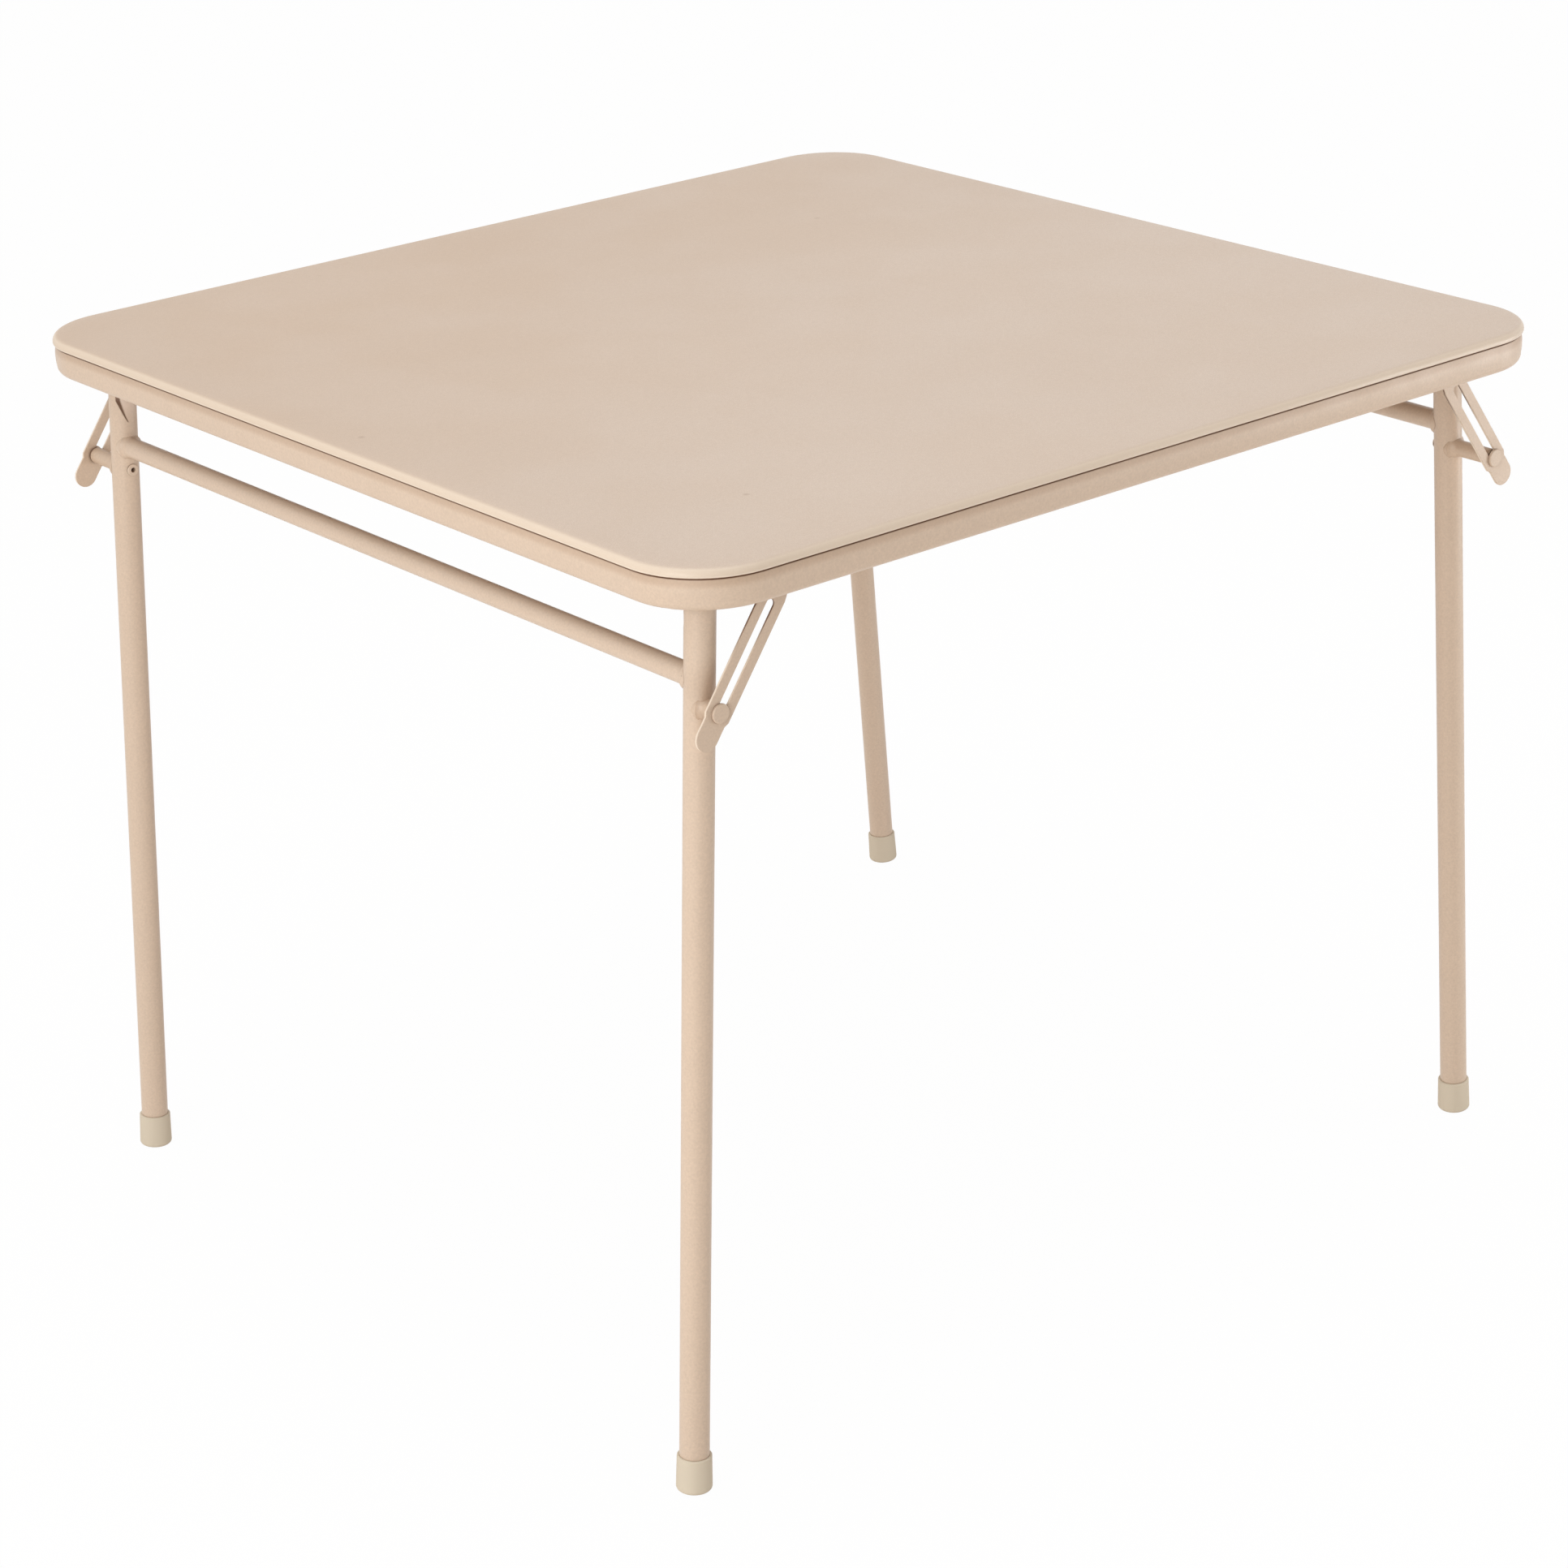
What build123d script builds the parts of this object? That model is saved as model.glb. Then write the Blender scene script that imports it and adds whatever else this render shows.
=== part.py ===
from build123d import *

import math
import os
from dataclasses import dataclass

# Folding card table, millimetres, +Z up.
# The origin lies on the floor under the middle of the square top.
# Corner pieces are built for one corner, with +X outboard (the way its leg splays) and +Y outward
# (towards the rail beside its brace), and are then mirrored into place.

# Table
TABLE_WIDTH = 864.0
TABLE_HEIGHT = 711.0
CORNER_RADIUS = 64.0

# Top
VINYL_THICKNESS = 0.9
VINYL_BOTTOM_ROUND = 1.7
VINYL_EDGE_FLAT = 0.4
VINYL_LAP = 21.0
SOFT_GAP = 0.3
PADDING_THICKNESS = 1.8
BOARD_THICKNESS = 3.2

# Apron rail
RAIL_INSET = 1.0
RAIL_HEIGHT = 23.6
RAIL_THICKNESS = 1.0
RAIL_CROWN = 0.7
RAIL_TOP_ROUND = 1.6
RAIL_BOTTOM_ROUND = 6.0
RAIL_TOP_FLANGE = 19.0
RAIL_RETURN_FLANGE = 14.0
NOTCH_MARGIN = 0.6
NOTCH_RUN = 10.0

# Panel screws
SCREWS_PER_SIDE = 3
SCREW_SPACING = 190.0
SCREW_SHANK_RADIUS = 1.6
SCREW_TIP_COVER = 0.7
SCREW_HEAD_RADIUS = 3.6
SCREW_HEAD_HEIGHT = 1.8
SCREW_HEAD_BEVEL = 0.9
SCREW_RECESS_LENGTH = 3.4
SCREW_RECESS_WIDTH = 0.8
SCREW_RECESS_DEPTH = 0.9

# Leg pairs
LEG_RADIUS = 11.1
LEG_WALL = 1.2
LEG_SPLAY_DEGREES = 3.4
LEG_AXIS_OFFSET = 3.0
LEG_HEAD_RADIUS = 16.0
LEG_CRIMP_LENGTH = 38.0
PIVOT_INSET = 42.0
NESTING_GAP = 3.8

# Fold that crimping leaves in the upper end of a leg, from its lower point to above the head
FOLD_LENGTH_SHARES = (-0.71, -0.59, -0.42, -0.16, 0.5)
FOLD_HALF_WIDTH_SHARES = (0.05, 0.42, 0.68, 0.87, 0.95)
FOLD_DEPTH_SHARES = (0.03, 0.4, 0.74, 0.96, 1.5)
FOLD_LIP_SHARE = 0.22
FOLD_LIP_RUN_SHARE = 0.1
FOLD_LIP_DEGREES = 20.0

# Leg pivot rivets
PIVOT_RIVET_RADIUS = 3.0
PIVOT_HEAD_RADIUS = 4.8
PIVOT_HEAD_HEIGHT = 1.5
PIVOT_HEAD_BEVEL = 0.7
PIVOT_SEAT_MARGIN = 0.6
PIVOT_SEAT_WALL = 6.4

# Foot caps
CAP_HEIGHT = 28.0
CAP_WALL = 1.75
CAP_FLARE = 0.5
CAP_FLOOR = 3.0
CAP_BOTTOM_ROUND = 3.0
CAP_TOP_BEVEL = 0.7

# Cross tubes
CROSS_RADIUS = 8.1
CROSS_WALL = 1.2
CROSS_DROP = 63.0
CROSS_WELD_SHARE = 0.83
CROSS_WELD_LENGTH = 4.4
CROSS_WELD_DEPTH = 1.6

# Spacer stubs
STUD_BELOW_CROSS = 18.6
STUB_LENGTH = 8.7
STUB_RADIUS = 6.5
STUB_END_ROUND = 2.4
STUB_WELD_SHARE = 0.84
STUB_WELD_LENGTH = 5.6
STUB_WELD_DEPTH = 3.0

# Slot rivets
RIVET_SHANK_RADIUS = 3.0
RIVET_SHOULDER_STEP = 0.5
RIVET_HEAD_RADIUS = 7.1
RIVET_HEAD_HEIGHT = 1.9
RIVET_HEAD_ROUND = 0.8
TAIL_RIM_STEP = 1.8
TAIL_RIM_HEIGHT = 1.0
TAIL_RIM_BEVEL = 0.4
TAIL_WALL = 0.9
TAIL_BORE_DEPTH = 8.0

# Slotted braces
BRACE_INSET = 25.4
BRACE_THICKNESS = 2.0
BRACE_WIDTH = 23.0
BRACE_ANGLE_DEGREES = 35.5
BRACE_END_STEP = 3.5
BRACE_NARROWING = 17.0
BRACE_SHOULDER_DROP = 3.5
BRACE_SHOULDER_RUN = 3.5
BRACE_EDGE = 0.3
TAB_LENGTH = 28.5
TAB_STEP = 1.8

# Rivets at the upper end of the braces, and the posts they turn on
BRACE_RIVET_RADIUS = 3.0
BRACE_RIVET_HEAD_RADIUS = 5.4
BRACE_RIVET_HEAD_HEIGHT = 1.6
BRACE_RIVET_HEAD_BEVEL = 0.7
POST_RADIUS = 6.5
POST_TENON_RADIUS = 3.0

# Hinge brackets
BRACKET_THICKNESS = 2.0
BRACKET_RAIL_GAP = 3.5
BRACKET_PIVOT_LUG_RADIUS = 9.0
BRACKET_POST_LUG_MARGIN = 1.5
LEG_HEAD_CLEARANCE = 1.0
BRACKET_BEND_ROUND = 1.5
CHEEK_GAP = 0.4

# Bracket rivets
BRACKET_RIVET_RADIUS = 1.6
BRACKET_RIVET_HEAD_RADIUS = 3.3
BRACKET_RIVET_HEAD_HEIGHT = 1.2
BRACKET_RIVET_HEAD_BEVEL = 0.5
BRACKET_RIVET_MARGIN = 12.0
BRACKET_RIVET_SPACING = 29.0

# Clearances
TURNING_CLEARANCE = 0.06
SLIDING_GAP = 0.1
OPEN_PIVOT_GAP = 0.3
SEAT_CLEARANCE = 0.05
LAYER_GAP = 0.1
OVERRUN = 1.0

# Levels of the layers in the top
HALF_WIDTH = TABLE_WIDTH / 2
PADDING_TOP = TABLE_HEIGHT - VINYL_THICKNESS - SOFT_GAP
PADDING_BOTTOM = PADDING_TOP - PADDING_THICKNESS
BOARD_TOP = PADDING_BOTTOM - LAYER_GAP
BOARD_BOTTOM = BOARD_TOP - BOARD_THICKNESS
VINYL_BOTTOM = BOARD_BOTTOM - LAYER_GAP - VINYL_THICKNESS
VINYL_TOP_ROUND = TABLE_HEIGHT - VINYL_BOTTOM - VINYL_BOTTOM_ROUND - VINYL_EDGE_FLAT
RAIL_TOP = VINYL_BOTTOM - LAYER_GAP
RAIL_UNDER = RAIL_TOP - RAIL_THICKNESS
RAIL_BOTTOM = RAIL_TOP - RAIL_HEIGHT
RAIL_HALF = HALF_WIDTH - RAIL_INSET
RAIL_CORNER_RADIUS = CORNER_RADIUS - RAIL_INSET
FASTENER_LINE = RAIL_HALF - RAIL_TOP_FLANGE / 2
BRACKET_TOP = RAIL_UNDER - SEAT_CLEARANCE
BRACKET_UNDER = BRACKET_TOP - BRACKET_THICKNESS

SCREW_TIP = BOARD_TOP - SCREW_TIP_COVER

# Levels across the braces
BRACE_OUTER_Y = HALF_WIDTH - BRACE_INSET
BRACE_INNER_Y = BRACE_OUTER_Y - BRACE_THICKNESS
STUB_END_Y = BRACE_INNER_Y - SLIDING_GAP
POST_END_Y = BRACE_INNER_Y - OPEN_PIVOT_GAP
RIVET_SEAT_Y = BRACE_OUTER_Y + SLIDING_GAP

# Hinge lines of the leg pairs, and the line of the rivet that slides in each brace's slot
PIVOT_X = HALF_WIDTH - PIVOT_INSET
PIVOT_Z = BRACKET_UNDER - LEG_HEAD_RADIUS - LEG_HEAD_CLEARANCE
STUD_DROP = CROSS_DROP + STUD_BELOW_CROSS

# Radii that follow those of the piece they meet
CAP_BORE = LEG_RADIUS + SEAT_CLEARANCE
CAP_TOP_RADIUS = CAP_BORE + CAP_WALL
CAP_BOTTOM_RADIUS = CAP_TOP_RADIUS + CAP_FLARE
CROSS_WELD_RADIUS = CROSS_RADIUS + (LEG_RADIUS - CROSS_RADIUS) * CROSS_WELD_SHARE
STUB_WELD_RADIUS = STUB_RADIUS + (LEG_RADIUS - STUB_RADIUS) * STUB_WELD_SHARE
PIVOT_SEAT_RADIUS = PIVOT_HEAD_RADIUS + PIVOT_SEAT_MARGIN
RIVET_SHOULDER_RADIUS = RIVET_SHANK_RADIUS + RIVET_SHOULDER_STEP
TAIL_RIM_RADIUS = RIVET_SHANK_RADIUS + TAIL_RIM_STEP
TAIL_BORE_RADIUS = RIVET_SHANK_RADIUS - TAIL_WALL
POST_LUG_RADIUS = POST_RADIUS + BRACKET_POST_LUG_MARGIN

# Widths of a brace
BRACE_SLOT_WIDTH = 2 * (RIVET_SHOULDER_RADIUS + SLIDING_GAP)
BRACE_END_RADIUS = BRACE_WIDTH / 2 - BRACE_END_STEP
TAB_RADIUS = BRACE_WIDTH / 2 - TAB_STEP

# Length of a leg from its hinge line to the underside of its cap, so that the splayed cap meets the floor
SPLAY = math.radians(LEG_SPLAY_DEGREES)
FOOT_EDGE = LEG_AXIS_OFFSET + CAP_BOTTOM_RADIUS - CAP_BOTTOM_ROUND
LEG_LENGTH = CAP_BOTTOM_ROUND + (PIVOT_Z - CAP_BOTTOM_ROUND - FOOT_EDGE * math.sin(SPLAY)) / math.cos(SPLAY)


@dataclass(frozen=True)
class Corner:
    """One corner: the way it is mirrored, and how far out its leg stands."""

    name: str
    outboard: int
    outward: int
    leg_y: float

    @property
    def cheek_y(self):
        return self.leg_y + LEG_RADIUS + CHEEK_GAP

    @property
    def post_start_y(self):
        return self.cheek_y + BRACKET_THICKNESS


# Each pair stands nearer the rail at one end, the other pair at the other, so folded legs lie side by side
WIDE = STUB_END_Y - STUB_LENGTH - LEG_RADIUS
NARROW = WIDE - 2 * LEG_RADIUS - NESTING_GAP
CORNERS = (
    Corner("left", -1, 1, NARROW),
    Corner("front", -1, -1, WIDE),
    Corner("right", 1, -1, NARROW),
    Corner("back", 1, 1, WIDE),
)


def save(shape, name):
    export_step(shape, f"parts/{name}.step")


def save_group(shapes, name):
    save(Compound(children=list(shapes)), name)


def at_corner(shape, corner):
    """Mirror a shape from the general corner into its own corner."""
    if corner.outboard < 0:
        shape = mirror(shape, about=Plane.YZ)
    if corner.outward < 0:
        shape = mirror(shape, about=Plane.XZ)
    return shape


def from_leg_frame(shape):
    """Tilt a shape by the splay and carry it to the hinge line, from a frame whose -Z runs down the leg."""
    return Pos(PIVOT_X, 0, PIVOT_Z) * Rot(0, -LEG_SPLAY_DEGREES, 0) * shape


def leg_point(x, z):
    """World X and Z of a point in the leg's frame."""
    world_x = PIVOT_X + x * math.cos(SPLAY) - z * math.sin(SPLAY)
    world_z = PIVOT_Z + x * math.sin(SPLAY) + z * math.cos(SPLAY)
    return world_x, world_z


# The stud is the line of a slot rivet, and a brace runs from there up to its post.
# The post is level with the folded leg's axis, so a folded brace lies along its leg.
STUD_X, STUD_Z = leg_point(-LEG_AXIS_OFFSET, -STUD_DROP)
BRACE_ANGLE = math.radians(BRACE_ANGLE_DEGREES)
POST_Z = PIVOT_Z + LEG_AXIS_OFFSET
BRACE_LENGTH = (POST_Z - STUD_Z) / math.cos(BRACE_ANGLE)
POST_X = STUD_X - BRACE_LENGTH * math.sin(BRACE_ANGLE)
FOLDED_BRACE_LENGTH = POST_X - (PIVOT_X - STUD_DROP)
SLOT_TRAVEL = BRACE_LENGTH - FOLDED_BRACE_LENGTH
BRACKET_TIP_X = POST_X - POST_LUG_RADIUS


def rod(radius, y_from, y_to):
    """Round bar along Y."""
    bar = Cylinder(radius, y_to - y_from, align=(Align.CENTER, Align.CENTER, Align.MIN))
    return Pos(0, y_from, 0) * Rot(-90, 0, 0) * bar


def outward_head(radius, height, bevel, y_from):
    """Rivet head on Y whose bevelled face looks outward."""
    head = rod(radius, y_from, y_from + height)
    return chamfer(head.faces().sort_by(Axis.Y)[-1].edges(), bevel)


def inward_head(radius, height, bevel, y_to):
    """Rivet head on Y whose bevelled face looks inward."""
    head = rod(radius, y_to - height, y_to)
    return chamfer(head.faces().sort_by(Axis.Y)[0].edges(), bevel)


def downward_head(radius, height, bevel, top):
    head = Pos(0, 0, top) * Cylinder(radius, height, align=(Align.CENTER, Align.CENTER, Align.MAX))
    return chamfer(head.faces().sort_by(Axis.Z)[0].edges(), bevel)


def upright(radius, bottom, top):
    pin = Cylinder(radius, top - bottom, align=(Align.CENTER, Align.CENTER, Align.MIN))
    return Pos(0, 0, bottom) * pin


def slab(half, radius, bottom, top):
    """Square plate with rounded corners."""
    return Pos(0, 0, bottom) * extrude(RectangleRounded(half * 2, half * 2, radius), amount=top - bottom)


# Top


def screw_places():
    places = []
    for index in range(SCREWS_PER_SIDE):
        along = (index - (SCREWS_PER_SIDE - 1) / 2) * SCREW_SPACING
        for line in (FASTENER_LINE, -FASTENER_LINE):
            places += [(along, line), (line, along)]
    return places


def drill_for_screws(shape):
    hole = upright(SCREW_SHANK_RADIUS + SEAT_CLEARANCE, RAIL_BOTTOM, SCREW_TIP + LAYER_GAP)
    for x, y in screw_places():
        shape -= Pos(x, y, 0) * hole
    return shape


def vinyl_cover():
    """Skin stretched over the padding, round the edge and under the rim of the board."""
    outer = slab(HALF_WIDTH, CORNER_RADIUS, VINYL_BOTTOM, TABLE_HEIGHT)
    outer = fillet(outer.faces().sort_by(Axis.Z)[-1].edges(), VINYL_TOP_ROUND)
    outer = fillet(outer.faces().sort_by(Axis.Z)[0].edges(), VINYL_BOTTOM_ROUND)
    inner_half = HALF_WIDTH - VINYL_THICKNESS
    inner_radius = CORNER_RADIUS - VINYL_THICKNESS
    inner_top = TABLE_HEIGHT - VINYL_THICKNESS
    hollow = slab(inner_half, inner_radius, VINYL_BOTTOM + VINYL_THICKNESS, inner_top)
    hollow = fillet(hollow.faces().sort_by(Axis.Z)[-1].edges(), VINYL_TOP_ROUND - VINYL_THICKNESS)
    lap_half = HALF_WIDTH - VINYL_LAP
    opening = slab(lap_half, CORNER_RADIUS - VINYL_LAP, VINYL_BOTTOM - OVERRUN, VINYL_BOTTOM + OVERRUN)
    return drill_for_screws(outer - hollow - opening)


def top_core():
    """Space under the vinyl that the padding and the board share."""
    inset = VINYL_THICKNESS + SOFT_GAP
    core = slab(HALF_WIDTH - inset, CORNER_RADIUS - inset, BOARD_BOTTOM, PADDING_TOP)
    return fillet(core.faces().sort_by(Axis.Z)[-1].edges(), VINYL_TOP_ROUND - inset)


def layer(bottom, top):
    return Pos(0, 0, bottom) * Box(
        TABLE_WIDTH, TABLE_WIDTH, top - bottom, align=(Align.CENTER, Align.CENTER, Align.MIN)
    )


def top_padding():
    return top_core() & layer(PADDING_BOTTOM, TABLE_HEIGHT)


def table_board():
    return drill_for_screws(top_core() & layer(VINYL_BOTTOM, BOARD_TOP))


def panel_screw():
    head = downward_head(SCREW_HEAD_RADIUS, SCREW_HEAD_HEIGHT, SCREW_HEAD_BEVEL, RAIL_UNDER)
    recess_base = RAIL_UNDER - SCREW_HEAD_HEIGHT
    for length, width in (
        (SCREW_RECESS_LENGTH, SCREW_RECESS_WIDTH),
        (SCREW_RECESS_WIDTH, SCREW_RECESS_LENGTH),
    ):
        bar = Box(length, width, SCREW_RECESS_DEPTH * 2)
        head -= Pos(0, 0, recess_base) * bar
    return head + upright(SCREW_SHANK_RADIUS, RAIL_UNDER, SCREW_TIP)


def panel_screws():
    screw = panel_screw()
    return [Pos(x, y, 0) * screw for x, y in screw_places()]


# Apron rail


def rail_section():
    """Crowned channel, open inward, at the middle of the +X side."""
    face = RAIL_HALF - RAIL_CROWN
    inside = face - RAIL_THICKNESS
    crown_low = RAIL_BOTTOM + RAIL_BOTTOM_ROUND
    crown_high = RAIL_TOP - RAIL_TOP_ROUND
    crown_mid = (crown_low + crown_high) / 2
    flange_end = RAIL_HALF - RAIL_TOP_FLANGE
    return_end = RAIL_HALF - RAIL_RETURN_FLANGE
    return_top = RAIL_BOTTOM + RAIL_THICKNESS
    bend_x = face - RAIL_BOTTOM_ROUND
    with BuildSketch(Plane.XZ) as section:
        with BuildLine():
            Line((flange_end, RAIL_UNDER), (flange_end, RAIL_TOP))
            Line((flange_end, RAIL_TOP), (face - RAIL_TOP_ROUND, RAIL_TOP))
            RadiusArc((face - RAIL_TOP_ROUND, RAIL_TOP), (face, crown_high), RAIL_TOP_ROUND)
            ThreePointArc((face, crown_high), (RAIL_HALF, crown_mid), (face, crown_low))
            RadiusArc((face, crown_low), (bend_x, RAIL_BOTTOM), RAIL_BOTTOM_ROUND)
            Line((bend_x, RAIL_BOTTOM), (return_end, RAIL_BOTTOM))
            Line((return_end, RAIL_BOTTOM), (return_end, return_top))
            Line((return_end, return_top), (bend_x, return_top))
            RadiusArc((bend_x, return_top), (inside, crown_low), RAIL_THICKNESS - RAIL_BOTTOM_ROUND)
            ThreePointArc((inside, crown_low), (inside + RAIL_CROWN, crown_mid), (inside, crown_high))
            Line((inside, crown_high), (inside, RAIL_UNDER))
            Line((inside, RAIL_UNDER), (flange_end, RAIL_UNDER))
        make_face()
    return section.sketch


def corner_notches():
    """Cutters that end the return flange short of each rounded corner."""
    inset = RAIL_INSET + RAIL_CROWN + RAIL_BOTTOM_ROUND + NOTCH_MARGIN
    ring = slab(
        HALF_WIDTH - inset,
        CORNER_RADIUS - inset,
        RAIL_BOTTOM - OVERRUN,
        RAIL_BOTTOM + RAIL_THICKNESS + OVERRUN,
    )
    size = CORNER_RADIUS + NOTCH_RUN
    block = Box(size, size, TABLE_HEIGHT, align=(Align.MAX, Align.MAX, Align.MIN))
    block = Pos(HALF_WIDTH, HALF_WIDTH, 0) * block
    return [ring & at_corner(block, corner) for corner in CORNERS]


def apron_rail():
    path = Pos(0, 0, RAIL_TOP) * RectangleRounded(RAIL_HALF * 2, RAIL_HALF * 2, RAIL_CORNER_RADIUS)
    rail = sweep(rail_section(), path=path.wire())
    for notch in corner_notches():
        rail -= notch
    rail = drill_for_screws(rail)
    for corner in CORNERS:
        for x, y in bracket_rivet_places():
            hole = upright(BRACKET_RIVET_RADIUS + SEAT_CLEARANCE, BRACKET_UNDER, TABLE_HEIGHT)
            rail -= at_corner(Pos(x, y, 0) * hole, corner)
    return rail


# Hinge brackets


def bracket_rivet_places():
    """Two along the rail and one halfway round the corner, all on the middle of the rail's flange."""
    first = BRACKET_TIP_X + BRACKET_RIVET_MARGIN
    turn_centre = HALF_WIDTH - CORNER_RADIUS
    diagonal = turn_centre + (FASTENER_LINE - turn_centre) * math.cos(math.pi / 4)
    return [(first, FASTENER_LINE), (first + BRACKET_RIVET_SPACING, FASTENER_LINE), (diagonal, diagonal)]


def cheek(corner):
    """Turned-down plate with a lug for the leg's pivot and one for the brace's post."""
    heel_x = PIVOT_X + BRACKET_PIVOT_LUG_RADIUS
    with BuildSketch(Plane.XZ) as outline:
        with Locations((PIVOT_X, PIVOT_Z)):
            Circle(BRACKET_PIVOT_LUG_RADIUS)
        with Locations((POST_X, POST_Z)):
            Circle(POST_LUG_RADIUS)
        with Locations((BRACKET_TIP_X, BRACKET_TOP)):
            Rectangle(heel_x - BRACKET_TIP_X, BRACKET_THICKNESS, align=(Align.MIN, Align.MAX))
        make_hull()
    plate = extrude(outline.sketch, amount=-BRACKET_THICKNESS)
    return Pos(0, corner.cheek_y, 0) * plate


def hinge_bracket(corner):
    """Corner gusset under the rail's flange with its cheek."""
    reach = RAIL_HALF - BRACKET_RAIL_GAP
    gusset = slab(reach, RAIL_CORNER_RADIUS - BRACKET_RAIL_GAP, BRACKET_UNDER, BRACKET_TOP)
    block = Box(
        TABLE_WIDTH, TABLE_WIDTH, TABLE_HEIGHT, align=(Align.MIN, Align.MIN, Align.MIN)
    )
    gusset &= Pos(BRACKET_TIP_X, corner.cheek_y, 0) * block
    bracket = gusset + cheek(corner)
    bend = bracket.edges().filter_by(Axis.X).filter_by_position(
        Axis.Y, corner.cheek_y - SEAT_CLEARANCE, corner.cheek_y + SEAT_CLEARANCE
    )
    bracket = fillet(bend.sort_by(Axis.Z)[-1], BRACKET_BEND_ROUND)
    past = corner.cheek_y + BRACKET_THICKNESS + OVERRUN
    bracket -= Pos(PIVOT_X, 0, PIVOT_Z) * rod(PIVOT_RIVET_RADIUS + SEAT_CLEARANCE, corner.leg_y, past)
    bracket -= Pos(POST_X, 0, POST_Z) * rod(POST_TENON_RADIUS + SEAT_CLEARANCE, corner.leg_y, past)
    for x, y in bracket_rivet_places():
        hole = upright(BRACKET_RIVET_RADIUS + SEAT_CLEARANCE, BRACKET_UNDER - OVERRUN, TABLE_HEIGHT)
        bracket -= Pos(x, y, 0) * hole
    return bracket


def bracket_rivet():
    """Rivet under the gusset, flush in the rail's top flange."""
    head = downward_head(
        BRACKET_RIVET_HEAD_RADIUS, BRACKET_RIVET_HEAD_HEIGHT, BRACKET_RIVET_HEAD_BEVEL, BRACKET_UNDER
    )
    return head + upright(BRACKET_RIVET_RADIUS, BRACKET_UNDER, RAIL_TOP)


def bracket_rivets():
    rivet = bracket_rivet()
    return [at_corner(Pos(x, y, 0) * rivet, corner) for corner in CORNERS for x, y in bracket_rivet_places()]


def bracket_post(corner):
    """Post on the cheek that carries the upper end of the brace."""
    post = rod(POST_RADIUS, corner.post_start_y, POST_END_Y)
    post += rod(POST_TENON_RADIUS, corner.cheek_y, corner.post_start_y)
    return Pos(POST_X, 0, POST_Z) * post


def leg_pivot_rivet(corner):
    seat_y = corner.leg_y + LEG_RADIUS - PIVOT_SEAT_WALL - SLIDING_GAP
    rivet = rod(PIVOT_RIVET_RADIUS, seat_y, corner.post_start_y)
    rivet += inward_head(PIVOT_HEAD_RADIUS, PIVOT_HEAD_HEIGHT, PIVOT_HEAD_BEVEL, seat_y)
    rivet += outward_head(PIVOT_HEAD_RADIUS, PIVOT_HEAD_HEIGHT, PIVOT_HEAD_BEVEL, corner.post_start_y)
    return Pos(PIVOT_X, 0, PIVOT_Z) * rivet


# Legs


def leg_cylinder(radius, bottom, top, leg_y):
    """Cylinder on a leg's axis, in the leg's frame."""
    return Pos(-LEG_AXIS_OFFSET, leg_y, 0) * upright(radius, bottom, top)


def radial(length, angle):
    """Vector at an angle round from -Y."""
    return Vector(length * math.sin(angle), -length * math.cos(angle))


def across(point):
    return Vector(-point.X, point.Y)


def fold_section(half_width, depth):
    """Section of the cutter for a crimp: two straight walls from a sharp crease to rounded lips."""
    crease = depth - LEG_RADIUS
    lip_angle = math.asin(half_width / LEG_RADIUS)
    leaving = lip_angle - math.radians(FOLD_LIP_DEGREES)
    ahead = Vector(math.cos(leaving), math.sin(leaving))
    lip = Vector(half_width, -LEG_RADIUS * math.cos(lip_angle))
    radius = half_width * FOLD_LIP_SHARE
    arc_end = lip - ahead * (half_width * FOLD_LIP_RUN_SHARE)
    centre = arc_end - radial(radius, leaving)
    to_crease = Vector(0, crease) - centre
    arc_start_angle = math.atan2(to_crease.Y, to_crease.X) - math.asin(radius / to_crease.length) + math.pi
    if arc_start_angle > math.pi:
        arc_start_angle -= 2 * math.pi
    arc_start = centre + radial(radius, arc_start_angle)
    arc_middle = centre + radial(radius, (arc_start_angle + leaving) / 2)
    outside = lip + ahead * OVERRUN
    far_corner = Vector(LEG_RADIUS + OVERRUN, -LEG_RADIUS - OVERRUN)
    with BuildSketch() as section:
        with BuildLine():
            Line((0, crease), arc_start)
            ThreePointArc(arc_start, arc_middle, arc_end)
            Line(arc_end, outside)
            Line(outside, far_corner)
            Line(far_corner, across(far_corner))
            Line(across(far_corner), across(outside))
            Line(across(outside), across(arc_end))
            ThreePointArc(across(arc_end), across(arc_middle), across(arc_start))
            Line(across(arc_start), (0, crease))
        make_face()
    return section.sketch


def crimp_fold(leg_y):
    """Cutter for the deepening fold in the side of the leg that faces the other leg of the pair."""
    sections = []
    shares = zip(FOLD_LENGTH_SHARES, FOLD_HALF_WIDTH_SHARES, FOLD_DEPTH_SHARES)
    for height, half_width, depth in shares:
        section = fold_section(half_width * LEG_RADIUS, depth * LEG_RADIUS)
        sections.append(Pos(-LEG_AXIS_OFFSET, leg_y, height * LEG_CRIMP_LENGTH) * section)
    return loft(sections)


def stud_axis(shape):
    """Carry a shape along Y to the stud's line in the leg's frame."""
    return Pos(-LEG_AXIS_OFFSET, 0, -STUD_DROP) * shape


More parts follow.
